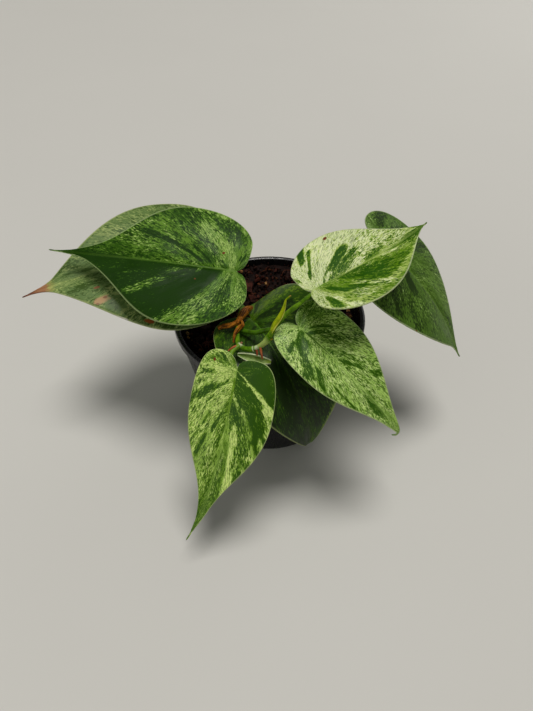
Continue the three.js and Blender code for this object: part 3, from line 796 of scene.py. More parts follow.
# "pale" gives each side, left and right of the midrib, stops of (place along the margin, paleness): 0 is
# plain dark green and 1 is cream. "strokes" are brush marks along the veins: (across, along, across, along,
# half width, paleness), where across runs from -1 at the left margin to 1 at the right, and along from 0 at
# the notch to 1 at the tip. "burns" are dry brown ends: (ahead, aside, radius), and "marks" are small spots:
# (ahead, aside, half length, half width, turn, colour).
leafPieces = {
    "leafUpperLeft": {
        "node": "leaf_upper_left", "seed": 3.1, "streak": 0.38, "fleck": 0.52, "gloss": 0.07,
        "tones": ("1a3a02", "335a0e", "668f2e", "a9c86c"), "under": "6d9148",
        "stalk": ("3e5e10", "62882a"), "at": (-14.5, -4, 91.5), "heading": 174, "rise": 6, "roll": -25,
        "length": 86, "left": 29, "right": 29, "droop": 12, "sweep": -2, "tipDroop": -7, "fold": 9,
        "curl": 17, "twist": -2, "shoulder": 0.27, "waist": 0.78, "lobes": (0.07, 0.06),
        "corners": (0.6, 0.66), "taper": (0.12, 0.13), "belly": (0.47, 0.35),
        "petiole": [(-12.3, -5, 70.8), (-15.6, -4.5, 75), (-17.5, -3.5, 82), (-16, -3.6, 88)],
        "pale": ([(0, 0.30), (0.07, 0.38), (0.12, 0.62), (0.30, 0.64), (0.44, 0.60), (0.49, -0.24),
                  (0.66, -0.20), (0.72, -0.10), (0.85, -0.08), (1, 0.04)],
                 [(0, 0.32), (0.10, 0.45), (0.22, 0.62), (0.44, 0.64), (0.56, 0.52), (0.70, 0.50),
                  (0.80, 0.26), (0.87, 0.02), (1, 0.05)]),
        "strokes": [(-0.95, 0.33, -0.30, 0.335, 0.030, 0.28), (-0.90, 0.17, -0.62, 0.16, 0.020, 0.35),
                    (-0.90, 0.63, -0.55, 0.65, 0.016, 0.42), (-0.34, 0.67, -0.2, 0.675, 0.010, 0.42),
                    (-0.03, 0.60, -0.12, 0.60, 0.010, 0.40), (0.15, 0.592, 0.45, 0.61, 0.009, 0.0),
                    (0.45, 0.61, 0.85, 0.635, 0.012, 0.05), (0.12, 0.545, 0.40, 0.56, 0.007, 0.1),
                    (0.42, 0.175, 0.66, 0.18, 0.016, 0.05), (0.34, 0.23, 0.44, 0.225, 0.010, 0.2),
                    (0.86, 0.32, 1.0, 0.60, 0.06, 0.28), (0.55, 0.44, 0.9, 0.46, 0.05, 0.34),
                    (0.06, 0.45, 0.16, 0.50, 0.04, 0.45), (0.25, 0.33, 0.50, 0.42, 0.05, 0.78)],
        "burns": [], "marks": [(6.8, -7.7, 0.95, 0.6, 35, "74331a"), (17.2, 6.8, 0.5, 0.4, 0, "6f4522")]},
    "leafLowerLeft": {
        "node": "leaf_lower_left", "seed": 11.7, "streak": 0.34, "fleck": 0.40,
        "tones": ("425c20", "678246", "93a662", "c8d682"), "under": "6f8f55",
        "stalk": ("3c5c16", "5e8230"), "at": (-32, 23.5, 81), "heading": 202, "rise": 10, "roll": -22,
        "length": 86, "left": 37.5, "right": 32, "droop": 28, "sweep": 4, "tipDroop": 2, "fold": 8,
        "curl": 23, "twist": -1, "shoulder": 0.19, "waist": 0.81, "lobes": (0.13, 0.14),
        "taper": (0.14, 0.11), "belly": (0.53, 0.52),
        "petiole": [(-11.2, 6, 60), (-16, 10.4, 63), (-24, 17, 69), (-29.5, 21.6, 76)],
        "pale": ([(0, 0.45), (0.5, 0.35), (0.70, 0.46), (0.76, 0.26), (0.82, 0.50), (0.88, 0.62),
                  (1, 0.6)],
                 [(0, 0.42), (0.5, 0.40), (0.66, 0.46), (0.74, 0.30), (0.84, 0.44), (0.88, 0.60),
                  (1, 0.6)]),
        "strokes": [(-1.0, 0.45, -0.7, 0.52, 0.03, 0.2), (-0.92, 0.775, -0.60, 0.77, 0.010, 0.1),
                    (-0.3, 0.80, -0.05, 0.80, 0.008, 0.15), (0.4, 0.785, 0.8, 0.80, 0.010, 0.15),
                    (-0.9, 0.87, -0.4, 0.88, 0.008, 0.95)],
        "burns": [(84, 0, 10)],
        "marks": [(51.1, 15.3, 4.2, 2.1, 10, "c09c70"), (49.4, 14.6, 1.3, 0.7, 0, "96704c"),
                  (53.4, 16.8, 0.9, 0.6, 0, "94704e"), (51.9, 8.7, 1.6, 0.8, 0, "8d6038"),
                  (33.1, 30.4, 2.6, 1.0, -25, "9a5526"), (44.8, 25.9, 4.4, 0.4, -33, "e9e6d2")]},
    "leafUpperRight": {
        "node": "leaf_upper_right", "seed": 23.4, "streak": 0.26, "fleck": 0.54, "gloss": 0.12,
        "tones": ("2a5800", "668f14", "b4cb6a", "e9f3be"), "under": "b7cc84",
        "stalk": ("426a02", "74a014"), "at": (16.5, -33.5, 104.5), "heading": 32, "rise": 8, "roll": 5,
        "length": 64, "left": 21, "right": 20, "droop": 5, "sweep": 14, "tipDroop": -2, "fold": 14,
        "curl": 13, "twist": 4, "shoulder": 0.29, "waist": 0.85, "lobes": (0.05, 0.04),
        "corners": (0.56, 0.62), "taper": (0.15, 0.15), "belly": (0.45, 0.54),
        "petiole": [(-1.8, -42, 85.4), (1.4, -38.8, 88.6), (5.6, -36.6, 94), (11.5, -36, 99.8)],
        "pale": ([(0, 0.70), (0.06, 0.66), (0.10, 0.90), (0.50, 0.90), (0.62, 0.88), (0.74, 0.74),
                  (0.80, 0.62), (0.85, 0.25), (0.90, 0.05), (1, 0.15)],
                 [(0, 0.72), (0.09, 0.62), (0.14, 0.86), (0.27, 0.84), (0.36, 0.62), (0.44, 0.40),
                  (0.60, 0.34), (0.72, 0.22), (0.77, 0.55), (0.83, 0.05), (0.90, 0.0), (1, 0.15)]),
        "strokes": [(-1.0, 0.165, -0.64, 0.20, 0.018, 0.38), (-0.98, 0.335, -0.72, 0.328, 0.014, 0.0),
                    (-0.82, 0.368, -0.34, 0.368, 0.008, 0.15), (-0.36, 0.355, -0.29, 0.35, 0.016, 0.05),
                    (-0.60, 0.57, -0.34, 0.565, 0.026, -0.1), (-0.56, 0.632, -0.28, 0.64, 0.022, -0.1),
                    (-0.28, 0.53, -0.03, 0.505, 0.010, 0.35), (-0.28, 0.65, -0.03, 0.60, 0.048, 0.26),
                    (-0.32, 0.70, -0.03, 0.70, 0.012, 0.92), (-0.45, 0.745, -0.02, 0.76, 0.018, 0.28),
                    (-1.0, 0.74, -0.84, 0.84, 0.04, 0.72), (0.54, 0.315, 0.86, 0.305, 0.020, 0.10),
                    (0.50, 0.35, 1.0, 0.355, 0.014, 0.86), (0.22, 0.45, 0.44, 0.45, 0.020, 0.0),
                    (0.50, 0.495, 0.66, 0.49, 0.018, 0.02), (0.45, 0.53, 0.60, 0.53, 0.008, 0.62),
                    (0.12, 0.66, 0.50, 0.66, 0.050, 0.04), (0.55, 0.60, 0.78, 0.59, 0.025, 0.12),
                    (0.80, 0.42, 1.0, 0.72, 0.06, 0.60), (0.16, 0.78, 0.55, 0.775, 0.010, 0.72),
                    (0.70, 0.52, 0.85, 0.54, 0.012, 0.80), (0.45, 0.27, 0.56, 0.24, 0.012, 0.55)],
        "burns": [], "marks": [(20.0, 18.9, 1.2, 0.8, 20, "74331a")]},
    "leafRearRight": {
        "node": "leaf_rear_right", "seed": 31.9, "streak": 0.20, "fleck": 0.38,
        "tones": ("243a08", "4c6e20", "6c8e3c", "bcd68a"), "under": "5d7f4c",
        "stalk": ("3a5c14", "5a8230"), "at": (52.5, 12, 92.5), "heading": -31, "rise": -26, "roll": 4,
        "length": 67, "left": 22.5, "right": 28, "droop": 46, "sweep": 1, "tipDroop": -15, "fold": 5,
        "curl": 18, "twist": -10, "shoulder": 0.18, "waist": 0.85, "lobes": (0.24, 0.14),
        "corners": (0.9, 0.8), "taper": (0.09, 0.16), "belly": (0.36, 0.69),
        "petiole": [(-11.4, 4.4, 61.6), (-5, 8, 63), (8, 13, 66), (28, 17, 73), (45, 15.6, 86)],
        "pale": ([(0, 0.45), (0.14, 0.50), (0.30, 0.34), (0.50, 0.42), (0.66, 0.52), (0.8, 0.40),
                  (1, 0.4)],
                 [(0, 0.40), (0.30, 0.42), (0.46, 0.28), (0.70, 0.32), (0.80, 0.40), (1, 0.4)]),
        "strokes": [(-0.95, 0.26, -0.70, 0.235, 0.02, 0.12), (-0.88, 0.12, -0.70, 0.16, 0.016, 0.62),
                    (-0.65, 0.45, -0.5, 0.44, 0.025, 0.1), (0.14, 0.62, 0.36, 0.65, 0.026, 0.0),
                    (0.6, 0.50, 0.85, 0.52, 0.016, 0.05), (0.7, 0.60, 0.95, 0.61, 0.012, 0.1),
                    (-0.85, 0.43, -0.6, 0.42, 0.02, 0.15), (-0.5, 0.62, -0.15, 0.66, 0.02, 0.3),
                    (-0.9, 0.76, -0.3, 0.77, 0.014, 0.2)],
        "burns": [], "marks": [(34.3, -22.2, 0.7, 0.6, 0, "8a4a26")]},
    "leafCentreRight": {
        "node": "leaf_centre_right", "seed": 47.2, "streak": 0.34, "fleck": 0.68, "gloss": 0.15,
        "tones": ("305803", "6e9634", "a8cc66", "d6ec9a"), "under": "7fa355",
        "stalk": ("305002", "4f7a08"), "at": (11.5, -37.5, 89.5), "heading": -36.2, "rise": -21,
        "roll": 10, "length": 69, "hook": 95, "left": 19.8, "right": 15.6, "droop": 38, "sweep": 9,
        "tipDroop": 2, "fold": 8, "curl": 21, "twist": 4, "shoulder": 0.24, "waist": 0.82,
        "lobes": (0.07, 0.08), "taper": (0.15, 0.17), "belly": (0.41, 0.48),
        "petiole": [(-13.7, -25.5, 77), (-10, -28.6, 78.4), (-5.8, -31.8, 80.8), (0.5, -34, 84.6),
                    (6.5, -36.2, 87.2)],
        # on the left side the stops from 0.14 to 0.31 stay low where the upper right leaf shades this one:
        # darker mottling with painted shade
        "pale": ([(0, 0.45), (0.08, 0.50), (0.14, 0.30), (0.31, 0.34), (0.38, 0.56), (0.60, 0.60),
                  (0.75, 0.62), (0.86, 0.55), (1, 0.4)],
                 [(0, 0.42), (0.08, 0.46), (0.14, 0.72), (0.34, 0.72), (0.50, 0.62), (0.74, 0.60),
                  (0.90, 0.45), (1, 0.4)]),
        "strokes": [(-0.46, 0.425, -0.20, 0.41, 0.014, 0.0), (-0.34, 0.48, -0.10, 0.475, 0.017, -0.08),
                    (-0.60, 0.67, -0.34, 0.685, 0.008, -0.1), (-0.34, 0.685, -0.18, 0.69, 0.009, 0.0),
                    (-0.60, 0.63, -0.42, 0.635, 0.018, 0.34), (-0.30, 0.655, -0.02, 0.64, 0.016, 0.32),
                    (-0.92, 0.64, -0.82, 0.66, 0.012, 0.05), (-0.40, 0.53, -0.26, 0.55, 0.03, 0.32),
                    (0.14, 0.385, 0.40, 0.40, 0.036, -0.05), (0.40, 0.405, 0.72, 0.435, 0.028, -0.1),
                    (0.80, 0.425, 0.95, 0.405, 0.012, 0.0), (0.68, 0.505, 0.86, 0.495, 0.015, 0.0),
                    (0.50, 0.347, 0.76, 0.343, 0.008, -0.1), (0.09, 0.22, 0.16, 0.44, 0.05, 0.05),
                    (0.42, 0.615, 0.56, 0.61, 0.008, 0.05), (0.80, 0.58, 0.95, 0.63, 0.010, 0.1),
                    (0.02, 0.82, 0.42, 0.82, 0.020, 0.0), (0.42, 0.80, 0.74, 0.775, 0.024, 0.0),
                    (-0.35, 0.79, 0.0, 0.80, 0.008, 0.3), (-0.75, 0.50, -0.6, 0.49, 0.012, 0.25),
                    (0.36, 0.26, 0.44, 0.25, 0.014, 0.2)],
        "burns": [], "marks": []},
    "leafFront": {
        "node": "leaf_front", "seed": 59.6, "streak": 0.38, "fleck": 0.56,
        "tones": ("2f5600", "648c1c", "9ec254", "dcf28e"), "under": "83aa52",
        "stalk": ("4c7208", "80a82c"), "at": (-13.3, -50.8, 78.5), "heading": -107, "rise": -50,
        "roll": 4, "length": 79, "left": 18.6, "right": 18, "droop": 10, "sweep": -22, "tipDroop": -11,
        "fold": 8, "curl": 21, "twist": 2, "shoulder": 0.22, "waist": 0.78, "lobes": (0.06, 0.08),
        "taper": (0.15, 0.13), "belly": (0.34, 0.36),
        "petiole": [(-12.6, -39, 79.7), (-15.6, -42, 79.2), (-16, -45.5, 77.8), (-14, -48.4, 76.6)],
        "pale": ([(0, -0.14), (0.20, -0.08), (0.36, -0.16), (0.50, -0.14), (0.56, 0.26), (0.62, 0.16),
                  (0.70, 0.42), (0.80, 0.32), (0.88, 0.12), (1, 0.1)],
                 [(0, 0.15), (0.09, 0.25), (0.13, 0.60), (0.32, 0.72), (0.50, 0.72), (0.70, 0.62),
                  (0.80, 0.36), (0.88, 0.14), (1, 0.1)]),
        "strokes": [(-0.04, 0.27, -0.14, 0.335, 0.009, 0.92), (-0.14, 0.335, -0.34, 0.383, 0.008, 0.95),
                    (-0.34, 0.383, -1.0, 0.395, 0.008, 0.95), (-0.82, 0.425, -1.0, 0.44, 0.024, 0.85),
                    (-0.10, 0.44, -0.80, 0.475, 0.040, -0.12), (-0.04, 0.46, -0.4, 0.51, 0.045, -0.1),
                    (-1.0, 0.455, -0.97, 0.455, 0.014, 0.7), (-1.0, 0.50, -0.96, 0.50, 0.016, 0.68),
                    (-1.0, 0.55, -0.92, 0.55, 0.018, 0.62), (-0.42, 0.545, -0.72, 0.535, 0.014, 0.52),
                    (-0.02, 0.545, -0.20, 0.565, 0.012, 0.68), (-0.05, 0.605, -0.50, 0.605, 0.018, 0.0),
                    (-0.45, 0.655, -0.92, 0.70, 0.030, 0.86), (-0.96, 0.60, -0.80, 0.64, 0.03, 0.3),
                    (0.12, 0.43, 0.40, 0.435, 0.015, 0.0), (0.42, 0.42, 0.72, 0.412, 0.017, 0.0),
                    (0.72, 0.405, 1.0, 0.40, 0.010, 0.2), (0.40, 0.23, 0.76, 0.26, 0.026, 0.34),
                    (0.56, 0.20, 0.84, 0.205, 0.012, 0.1), (0.55, 0.34, 0.85, 0.335, 0.008, 0.2),
                    # the two pale strokes beside the midrib, from 0.20 to 0.56 along, are cream tissue with a
                    # painted highlight on it
                    (0.04, 0.20, 0.20, 0.36, 0.06, 0.80), (0.05, 0.40, 0.24, 0.56, 0.025, 0.80),
                    (0.56, 0.55, 0.66, 0.55, 0.009, 0.15), (0.38, 0.628, 0.48, 0.63, 0.014, 0.0),
                    (0.72, 0.61, 0.90, 0.615, 0.014, 0.1), (0.46, 0.48, 0.56, 0.475, 0.008, 0.1),
                    (0.02, 0.69, 0.18, 0.70, 0.012, 0.1), (0.02, 0.60, 0.24, 0.68, 0.05, 0.30),
                    (-0.3, 0.74, 0.2, 0.76, 0.008, 0.55), (0.25, 0.77, 0.6, 0.77, 0.008, 0.5)],
        "burns": [], "marks": [(-1.8, -9.8, 0.9, 0.6, 0, "74331a")]},
    "leafRim": {
        "node": "leaf_rim", "seed": 71.3, "streak": 0.34, "fleck": 0.26, "rib": 0.12,
        # this leaf hangs in the shade of the leaves above, and its tones and underside are darkened as
        # painted shade
        "tones": ("182c04", "2e5006", "64841a", "a6ba48"), "under": "3f6230",
        "stalk": ("34580c", "54801c"), "at": (-8.5, -13.5, 72.5), "heading": -67, "rise": 20, "roll": 11,
        "length": 93, "left": 31, "right": 23.5, "droop": 156, "sweep": 2, "tipDroop": 13, "fold": 11,
        "curl": 6, "twist": -7, "shoulder": 0.27, "waist": 0.83, "lobes": (0.17, 0.08),
        "corners": (0.8, 0.55), "taper": (0.07, 0.13), "belly": (0.29, 0.49),
        "petiole": [(-11.8, 1, 65.4), (-8.6, -0.6, 63.4), (-6.4, -4.6, 63.4), (-6.9, -9.8, 67.2)],
        # its paleness falls from the notch down the blade with its own darker mottling and with painted shade
        # from the leaves above
        "pale": ([(0, 0.55), (0.12, 0.52), (0.24, 0.50), (0.34, 0.42), (0.45, 0.30), (0.7, 0.12),
                  (1, 0.25)],
                 [(0, 0.42), (0.35, 0.36), (0.5, 0.2), (0.7, 0.10), (1, 0.2)]),
        "strokes": [(-0.8, 0.17, -0.3, 0.19, 0.02, 0.15), (-1.0, 0.13, -0.6, 0.10, 0.010, 0.66),
                    (-0.5, 0.36, -0.2, 0.38, 0.03, 0.05), (-1.0, 0.6, -0.95, 0.9, 0.1, 0.45),
                    (0.3, 0.33, 0.6, 0.34, 0.03, 0.1)],
        "burns": [], "marks": [(70, 9.0, 0.9, 0.6, 0, "74331a")]}}


def bladeSurface(leaf):
    # returns a function from (ahead, aside, lift) on the flat blade to its place in the air
    yaw = math.radians(leaf["heading"])
    pitch = math.radians(leaf["rise"])
    roll = math.radians(leaf["roll"])
    ahead = Vector((math.cos(pitch) * math.cos(yaw), math.cos(pitch) * math.sin(yaw), math.sin(pitch)))
    level = Vector((-math.sin(yaw), math.cos(yaw), 0))
    over = ahead.cross(level)
    side = level * math.cos(roll) + over * math.sin(roll)
    up = over * math.cos(roll) - level * math.sin(roll)
    length = leaf["length"]
    steps = leafSettings["spineSteps"]
    behind = leafSettings["spineBehind"]
    first = -behind * length
    pace = (1 + behind) * length / steps
    line = []
    point = Vector((0, 0, 0))
    before = None
    for i in range(steps + 1):
        x = (first + i * pace) / length
        droop = math.radians(leaf["droop"]) * x + math.radians(leaf["tipDroop"]) * clamp((x - 0.7) / 0.3) ** 2
        droop += math.radians(leaf.get("hook", 0)) * clamp((x - 0.88) / 0.12)
        sweep = math.radians(leaf["sweep"]) * clamp(x) ** 2
        flat = ahead * math.cos(sweep) + side * math.sin(sweep)
        along = flat * math.cos(droop) - up * math.sin(droop)
        normal = flat * math.sin(droop) + up * math.cos(droop)
        if before:
            point = point + (before + along) * (pace / 2)
        before = along
        line.append((point, normal, normal.cross(along)))

    def look(u):
        t = clamp((u - first) / pace, 0, steps - 1e-6)
        k = int(t)
        return [low.lerp(high, t - k) for low, high in zip(line[k], line[k + 1])]

    home = look(0)[0]
    fold = math.radians(leaf["fold"])
    bend = math.radians(leaf["curl"]) / (0.5 * (leaf["left"] + leaf["right"]))

    def surface(u, v, lift):
        centre, normal, across = look(u)
        twist = math.radians(leaf["twist"]) * clamp(u / length, -0.3, 1)
        turned = across * math.cos(twist) + normal * math.sin(twist)
        upward = normal * math.cos(twist) - across * math.sin(twist)
        out = math.copysign((math.sin(fold) - math.sin(fold - bend * abs(v))) / bend, v)
        rise = (math.cos(fold - bend * abs(v)) - math.cos(fold)) / bend + lift
        return Vector(leaf["at"]) + centre - home + turned * out + upward * rise

    return surface


def heartOutline(lobe, shoulder, taper, belly, waist, corner):
    # half of the outline: from the V notch, round the lobe, past the widest place, to the drawn-out tip
    handle = 0.22
    slope = (taper - belly) / handle
    rest = 1 - waist
    low = max(taper + slope * rest * 0.45, taper * 0.3)
    arcs = [(0.2, (-0.3 * lobe, 0.035), (-0.65 * lobe, 0.07), (-lobe, 0.2), (-lobe, 0.44)),
            (0.4, (-lobe, 0.44), (-lobe, corner), (shoulder - handle, 1), (shoulder, 1)),
            (0.8, (shoulder, 1), (shoulder + 0.24, 1), (waist - handle, belly), (waist, taper)),
            (1.0, (waist, taper), (waist + (low - taper) / slope, low), (waist + rest * 0.6, 0.012), (1, 0))]

    def edge(s):
        start = 0.0
        for stop, *corners in arcs:
            if s <= stop or stop == 1.0:
                break
            start = stop
        t = clamp((s - start) / (stop - start))
        weights = ((1 - t) ** 3, 3 * t * (1 - t) ** 2, 3 * t * t * (1 - t), t ** 3)
        return [sum(w * corner[axis] for w, corner in zip(weights, corners)) for axis in (0, 1)]

    return edge


def strokeWeight(a, s, stroke):
    # 1 on the stroke and 0 off it, with a soft edge and rounded ends
    fromA, fromS, toA, toS, half, _ = stroke
    if (a < 0) != (fromA + toA < 0):
        return 0.0
    t = clamp((a - fromA) / (toA - fromA))
    beyond = abs(a - blendTo(fromA, toA, t)) * 0.25
    away = math.hypot(s - blendTo(fromS, toS, t), beyond) / half
    return ease((1.6 - away) / 0.8)


def paleness(leaf, a, s):
    # the two sides run into each other at the midrib, and the strokes lie on top
    left, right = [alongStops(stops, s) for stops in leaf["pale"]]
    pale = blendTo(0.5 * (left + right), left if a < 0 else right, ease(abs(a) / 0.04))
    for stroke in leaf["strokes"]:
        pale = blendTo(pale, stroke[5], strokeWeight(a, s, stroke))
    return pale


def marginAndGlintTone(leaf):
    # the margin, with a painted highlight where its edge catches light, is a shade paler than the leaf's
    # palest tissue
    pairs = zip(shade(leaf["tones"][3]), shade(leafSettings["marginAndGlintTint"]))
    return tuple(0.6 * tone + 0.4 * light for tone, light in pairs)


def tissueOf(tree, leaf, tones, streak, fleck):
    dark, mid, light, cream = tones
    return useGroup(tree, marbling, Pale=pointValue(tree, "pale"), Veins=sheetPlace(tree),
                    Blade=pointValue(tree, "blade", "Vector"), Seed=leaf["seed"], Streak=streak, Fleck=fleck,
                    Dark=dark, Mid=mid, Light=light, Cream=cream)


def spotMark(tree, tissue, colour, mark):
    # a small ragged spot on the blade
    ahead, aside, half, width, turn, code = mark
    spot = addNode(tree, "ShaderNodeMapping", "mark", vector_type="TEXTURE")
    feed(tree, spot.inputs["Vector"], pointValue(tree, "blade", "Vector"))
    spot.inputs["Location"].default_value = (ahead * mm, aside * mm, 0)
    spot.inputs["Rotation"].default_value = (0, 0, math.radians(turn))
    spot.inputs["Scale"].default_value = (half * mm, width * mm, 1)
    near = vectorMaths(tree, "LENGTH", spot.outputs[0], (0, 0, 0))
    near = nudge(tree, near, tissue["Height"], 0.6, 1.1)
    return mixColours(tree, softStep(tree, near, 1.15, 0.7), colour, shade(code))


def leafTop(name, leaf):
    material, tree, shader = newMaterial(name + "Top", 0.42, leaf.get("gloss", 0.2))
    tones = [shade(code) for code in leaf["tones"]]
    tissue = tissueOf(tree, leaf, tones, leaf["streak"], leaf["fleck"])
    # the midrib is a pale thread that fades towards the tip
    ahead, aside, _ = partsOf(tree, pointValue(tree, "blade", "Vector"))
    outer, inner = leafSettings["midribHalf"]
    thread = softStep(tree, maths(tree, "ABSOLUTE", aside), outer * mm, inner * mm)
    fading = softStep(tree, ahead, 0.08, 0.0, 0.1, leaf.get("rib", 0.55))
    colour = mixColours(tree, maths(tree, "MULTIPLY", thread, fading), tissue["Color"], tones[2])
    # a thin pale line follows the margin: the leaf's pale margin with a painted highlight where the edge
    # catches light
    outward = maths(tree, "ABSOLUTE", maths(tree, "SUBTRACT", partsOf(tree, sheetPlace(tree))[0], 0.5))
    margin = softStep(tree, outward, *leafSettings["marginAndGlintBand"], 0.0, 0.6)
    colour = mixColours(tree, margin, colour, marginAndGlintTone(leaf))
    # dry tissue goes from yellow at its rim to tan and brown
    ragged = nudge(tree, pointValue(tree, "dry"), tissue["Height"], 0.6, 0.5)
    for low, high, most, code in leafSettings["dryTones"]:
        colour = mixColours(tree, softStep(tree, ragged, low, high, 0.0, most), colour, shade(code))
    for mark in leaf["marks"]:
        colour = spotMark(tree, tissue, colour, mark)
    feed(tree, shader.inputs["Base Color"], colour)
    dull = softStep(tree, ragged, 0.4, 0.6)
    feed(tree, shader.inputs["Roughness"], maths(tree, "MULTIPLY_ADD", dull, 0.25, tissue["Roughness"]))
    glowThrough(shader, 0.06, (0.0006, 0.001, 0.0003))
    bumpInto(tree, shader, tissue["Height"], 0.16, 0.0003)
    return material


def leafUnder(name, leaf):
    # the underside shows the same marbling, washed out
    material, tree, shader = newMaterial(name + "Under", 0.6, 0.3)
    under = shade(leaf["under"])
    deep = tuple(c * 0.55 for c in under[:3]) + (1,)
    bright = tuple(min(1, c * 1.35 + 0.02) for c in under[:3]) + (1,)
    tissue = tissueOf(tree, leaf, (deep, under, bright, bright), leaf["streak"] * 0.7, leaf["fleck"] * 0.5)
    feed(tree, shader.inputs["Base Color"], mixColours(tree, 0.35, tissue["Color"], under))
    feed(tree, shader.inputs["Roughness"], maths(tree, "ADD", tissue["Roughness"], 0.14))
    bumpInto(tree, shader, tissue["Height"], 0.3, 0.0004)
    return material


def leafEdge(name, leaf):
    material, tree, shader = newMaterial(name + "Edge", 0.55, 0.35)
    # the rim faces run up to the margin tone, which holds a painted edge highlight
    grain = grained(tree, objectPlace(tree), (leaf["tones"][2], marginAndGlintTone(leaf)), (2, 2, 2), 0.2)
    burnt = softStep(tree, pointValue(tree, "dry"), 0.3, 0.6)
    tan = shade(leafSettings["dryEdge"])
    feed(tree, shader.inputs["Base Color"], mixColours(tree, burnt, grain["Color"], tan))
    bumpInto(tree, shader, grain["Height"], 0.2, 0.0002)
    return material


def bendBlade(blade, leaf, surface):
    # each point of the flat grid goes to its place on the leaf and gets its paleness and dryness
    corners = leaf.get("corners", (0.8, 0.8))
    edges = [heartOutline(leaf["lobes"][i], leaf["shoulder"], leaf["taper"][i], leaf["belly"][i],
                          leaf["waist"], corners[i]) for i in (0, 1)]
    mesh = blade.data
    for label, kind in (("blade", "FLOAT_VECTOR"), ("pale", "FLOAT"), ("dry", "FLOAT")):
        mesh.attributes.new(label, kind, "POINT")
    flat, pale, dry = [mesh.attributes[label].data for label in ("blade", "pale", "dry")]
    length = leaf["length"]
    for vertex in mesh.vertices:
        a = vertex.co.x
        s = clamp((vertex.co.y + 1) / 2)
        k = abs(a)
        ahead, aside = edges[0 if a < 0 else 1](s)
        root = blendTo(s ** leafSettings["rootCrowding"], ahead, clamp((s - 0.65) / 0.25) ** 2)
        u = blendTo(root, ahead, k ** leafSettings["veinBow"]) * length
        v = k * aside * (leaf["left"] if a < 0 else -leaf["right"])
        # side veins, a wavy margin and the sunk midrib start softly at the notch and die away at the tip
        start = clamp(s * 5)
        vein = -leafSettings["veinDepth"] * math.cos(s * math.tau * leafSettings["sideVeins"])
        vein *= math.sin(math.pi * clamp(k * 1.1))
        phase = s * leafSettings["waveTurns"] + (0 if a < 0 else leafSettings["waveShift"])
        wave = leafSettings["waveHeight"] * k * k * math.sin(phase) * math.sin(math.pi * s)
        groove = -leafSettings["grooveDepth"] * math.exp(-(v / leafSettings["grooveWidth"]) ** 2)
        groove *= clamp(1.2 - 1.2 * u / length)
        relief = (vein + wave) * (start * clamp((1 - s) * 10)) + groove * start
        vertex.co = surface(u, v, relief) * mm
        flat[vertex.index].vector = (u * mm, v * mm, 0)
        pale[vertex.index].value = paleness(leaf, a, s)
        burns = [1.1 - 0.6 * math.hypot(u - atU, v - atV) / radius for atU, atV, radius in leaf["burns"]]
        dry[vertex.index].value = max(burns + [0.0])


def petioleOf(name, leaf, surface):
    # the petiole runs on under the blade as its midrib, and is stout where it starts
    ribs = [surface(x * leaf["length"], 0, -leafSettings["ribSink"] - 0.1 * (0.8 - x))
            for x in leafSettings["ribAt"]]
    points = leaf["petiole"] + ribs
    reach = distancesAlong(points)
    joint = reach[len(leaf["petiole"]) - 1]
    stops = leafSettings["petioleStops"]
    radii = []
    for i in range(stops + 1):
        want = reach[-1] * i / stops
        inRib = clamp((want - joint) / (reach[-1] - joint))
        thin = blendTo(leafSettings["ribFrom"], leafSettings["ribTo"], inRib)
        radii.append(leafSettings["petioleRadius"] if want < joint else thin)
    radii[0] = leafSettings["petioleFoot"]
    petiole = stalk(name + "Petiole", points, radii, leafSettings["petioleSteps"], 3)
    petiole.data.materials.append(stalkMaterial(name + "Stalk", leaf["stalk"]))
    return petiole


def makeLeaf(name, leaf):
    surface = bladeSurface(leaf)
    blade = flatGrid(name, leafSettings["columns"], leafSettings["rows"])
    bendBlade(blade, leaf, surface)
    editAll()
    bpy.ops.mesh.remove_doubles(threshold=0.01 * mm)
    leaveEdit()
    for material in (leafTop(name, leaf), leafUnder(name, leaf), leafEdge(name, leaf)):
        blade.data.materials.append(material)
    thick = thicken(blade, leafSettings["thickness"])
    thick.material_offset = 1
    thick.material_offset_rim = 2
    applyAll(blade)
    bpy.ops.object.shade_smooth()
    return joinInto(blade, [petioleOf(name, leaf, surface)])


for leafName, leafLooks in leafPieces.items():
    takesPlaceOf(makeLeaf(leafName, leafLooks), leafLooks["node"], leafLooks["node"])


# the youngest leaf, still rolled to a point; its free edge winds once round it
shootSettings = {
    "path": [(0.3, -42.8, 88.8), (1.8, -42.1, 94), (4.2, -41.2, 98.6), (5.6, -40.2, 102.6),
             (6.3, -39.6, 105.4), (8.1, -39, 106.9)],
    "radii": [0.9, 1.1, 1.16, 0.98, 0.7, 0.42, 0.22], "steps": 30, "yellowGreen": ("5c7c00", "b0be14"),
    "tints": [((0.3, -42.8, 88.8), 4.0, "5c8202"), ((8.6, -38.4, 107), 1.3, "bd7450")],
    "rollFrom": 2, "rollTo": 27, "rollStart": 1.2, "rollTurn": 0.09, "rollSink": 0.86,
    "rollRadii": [0.1, 0.3, 0.34, 0.3, 0.24, 0.12], "rollYellow": ("b8bc30", "e6e070")}


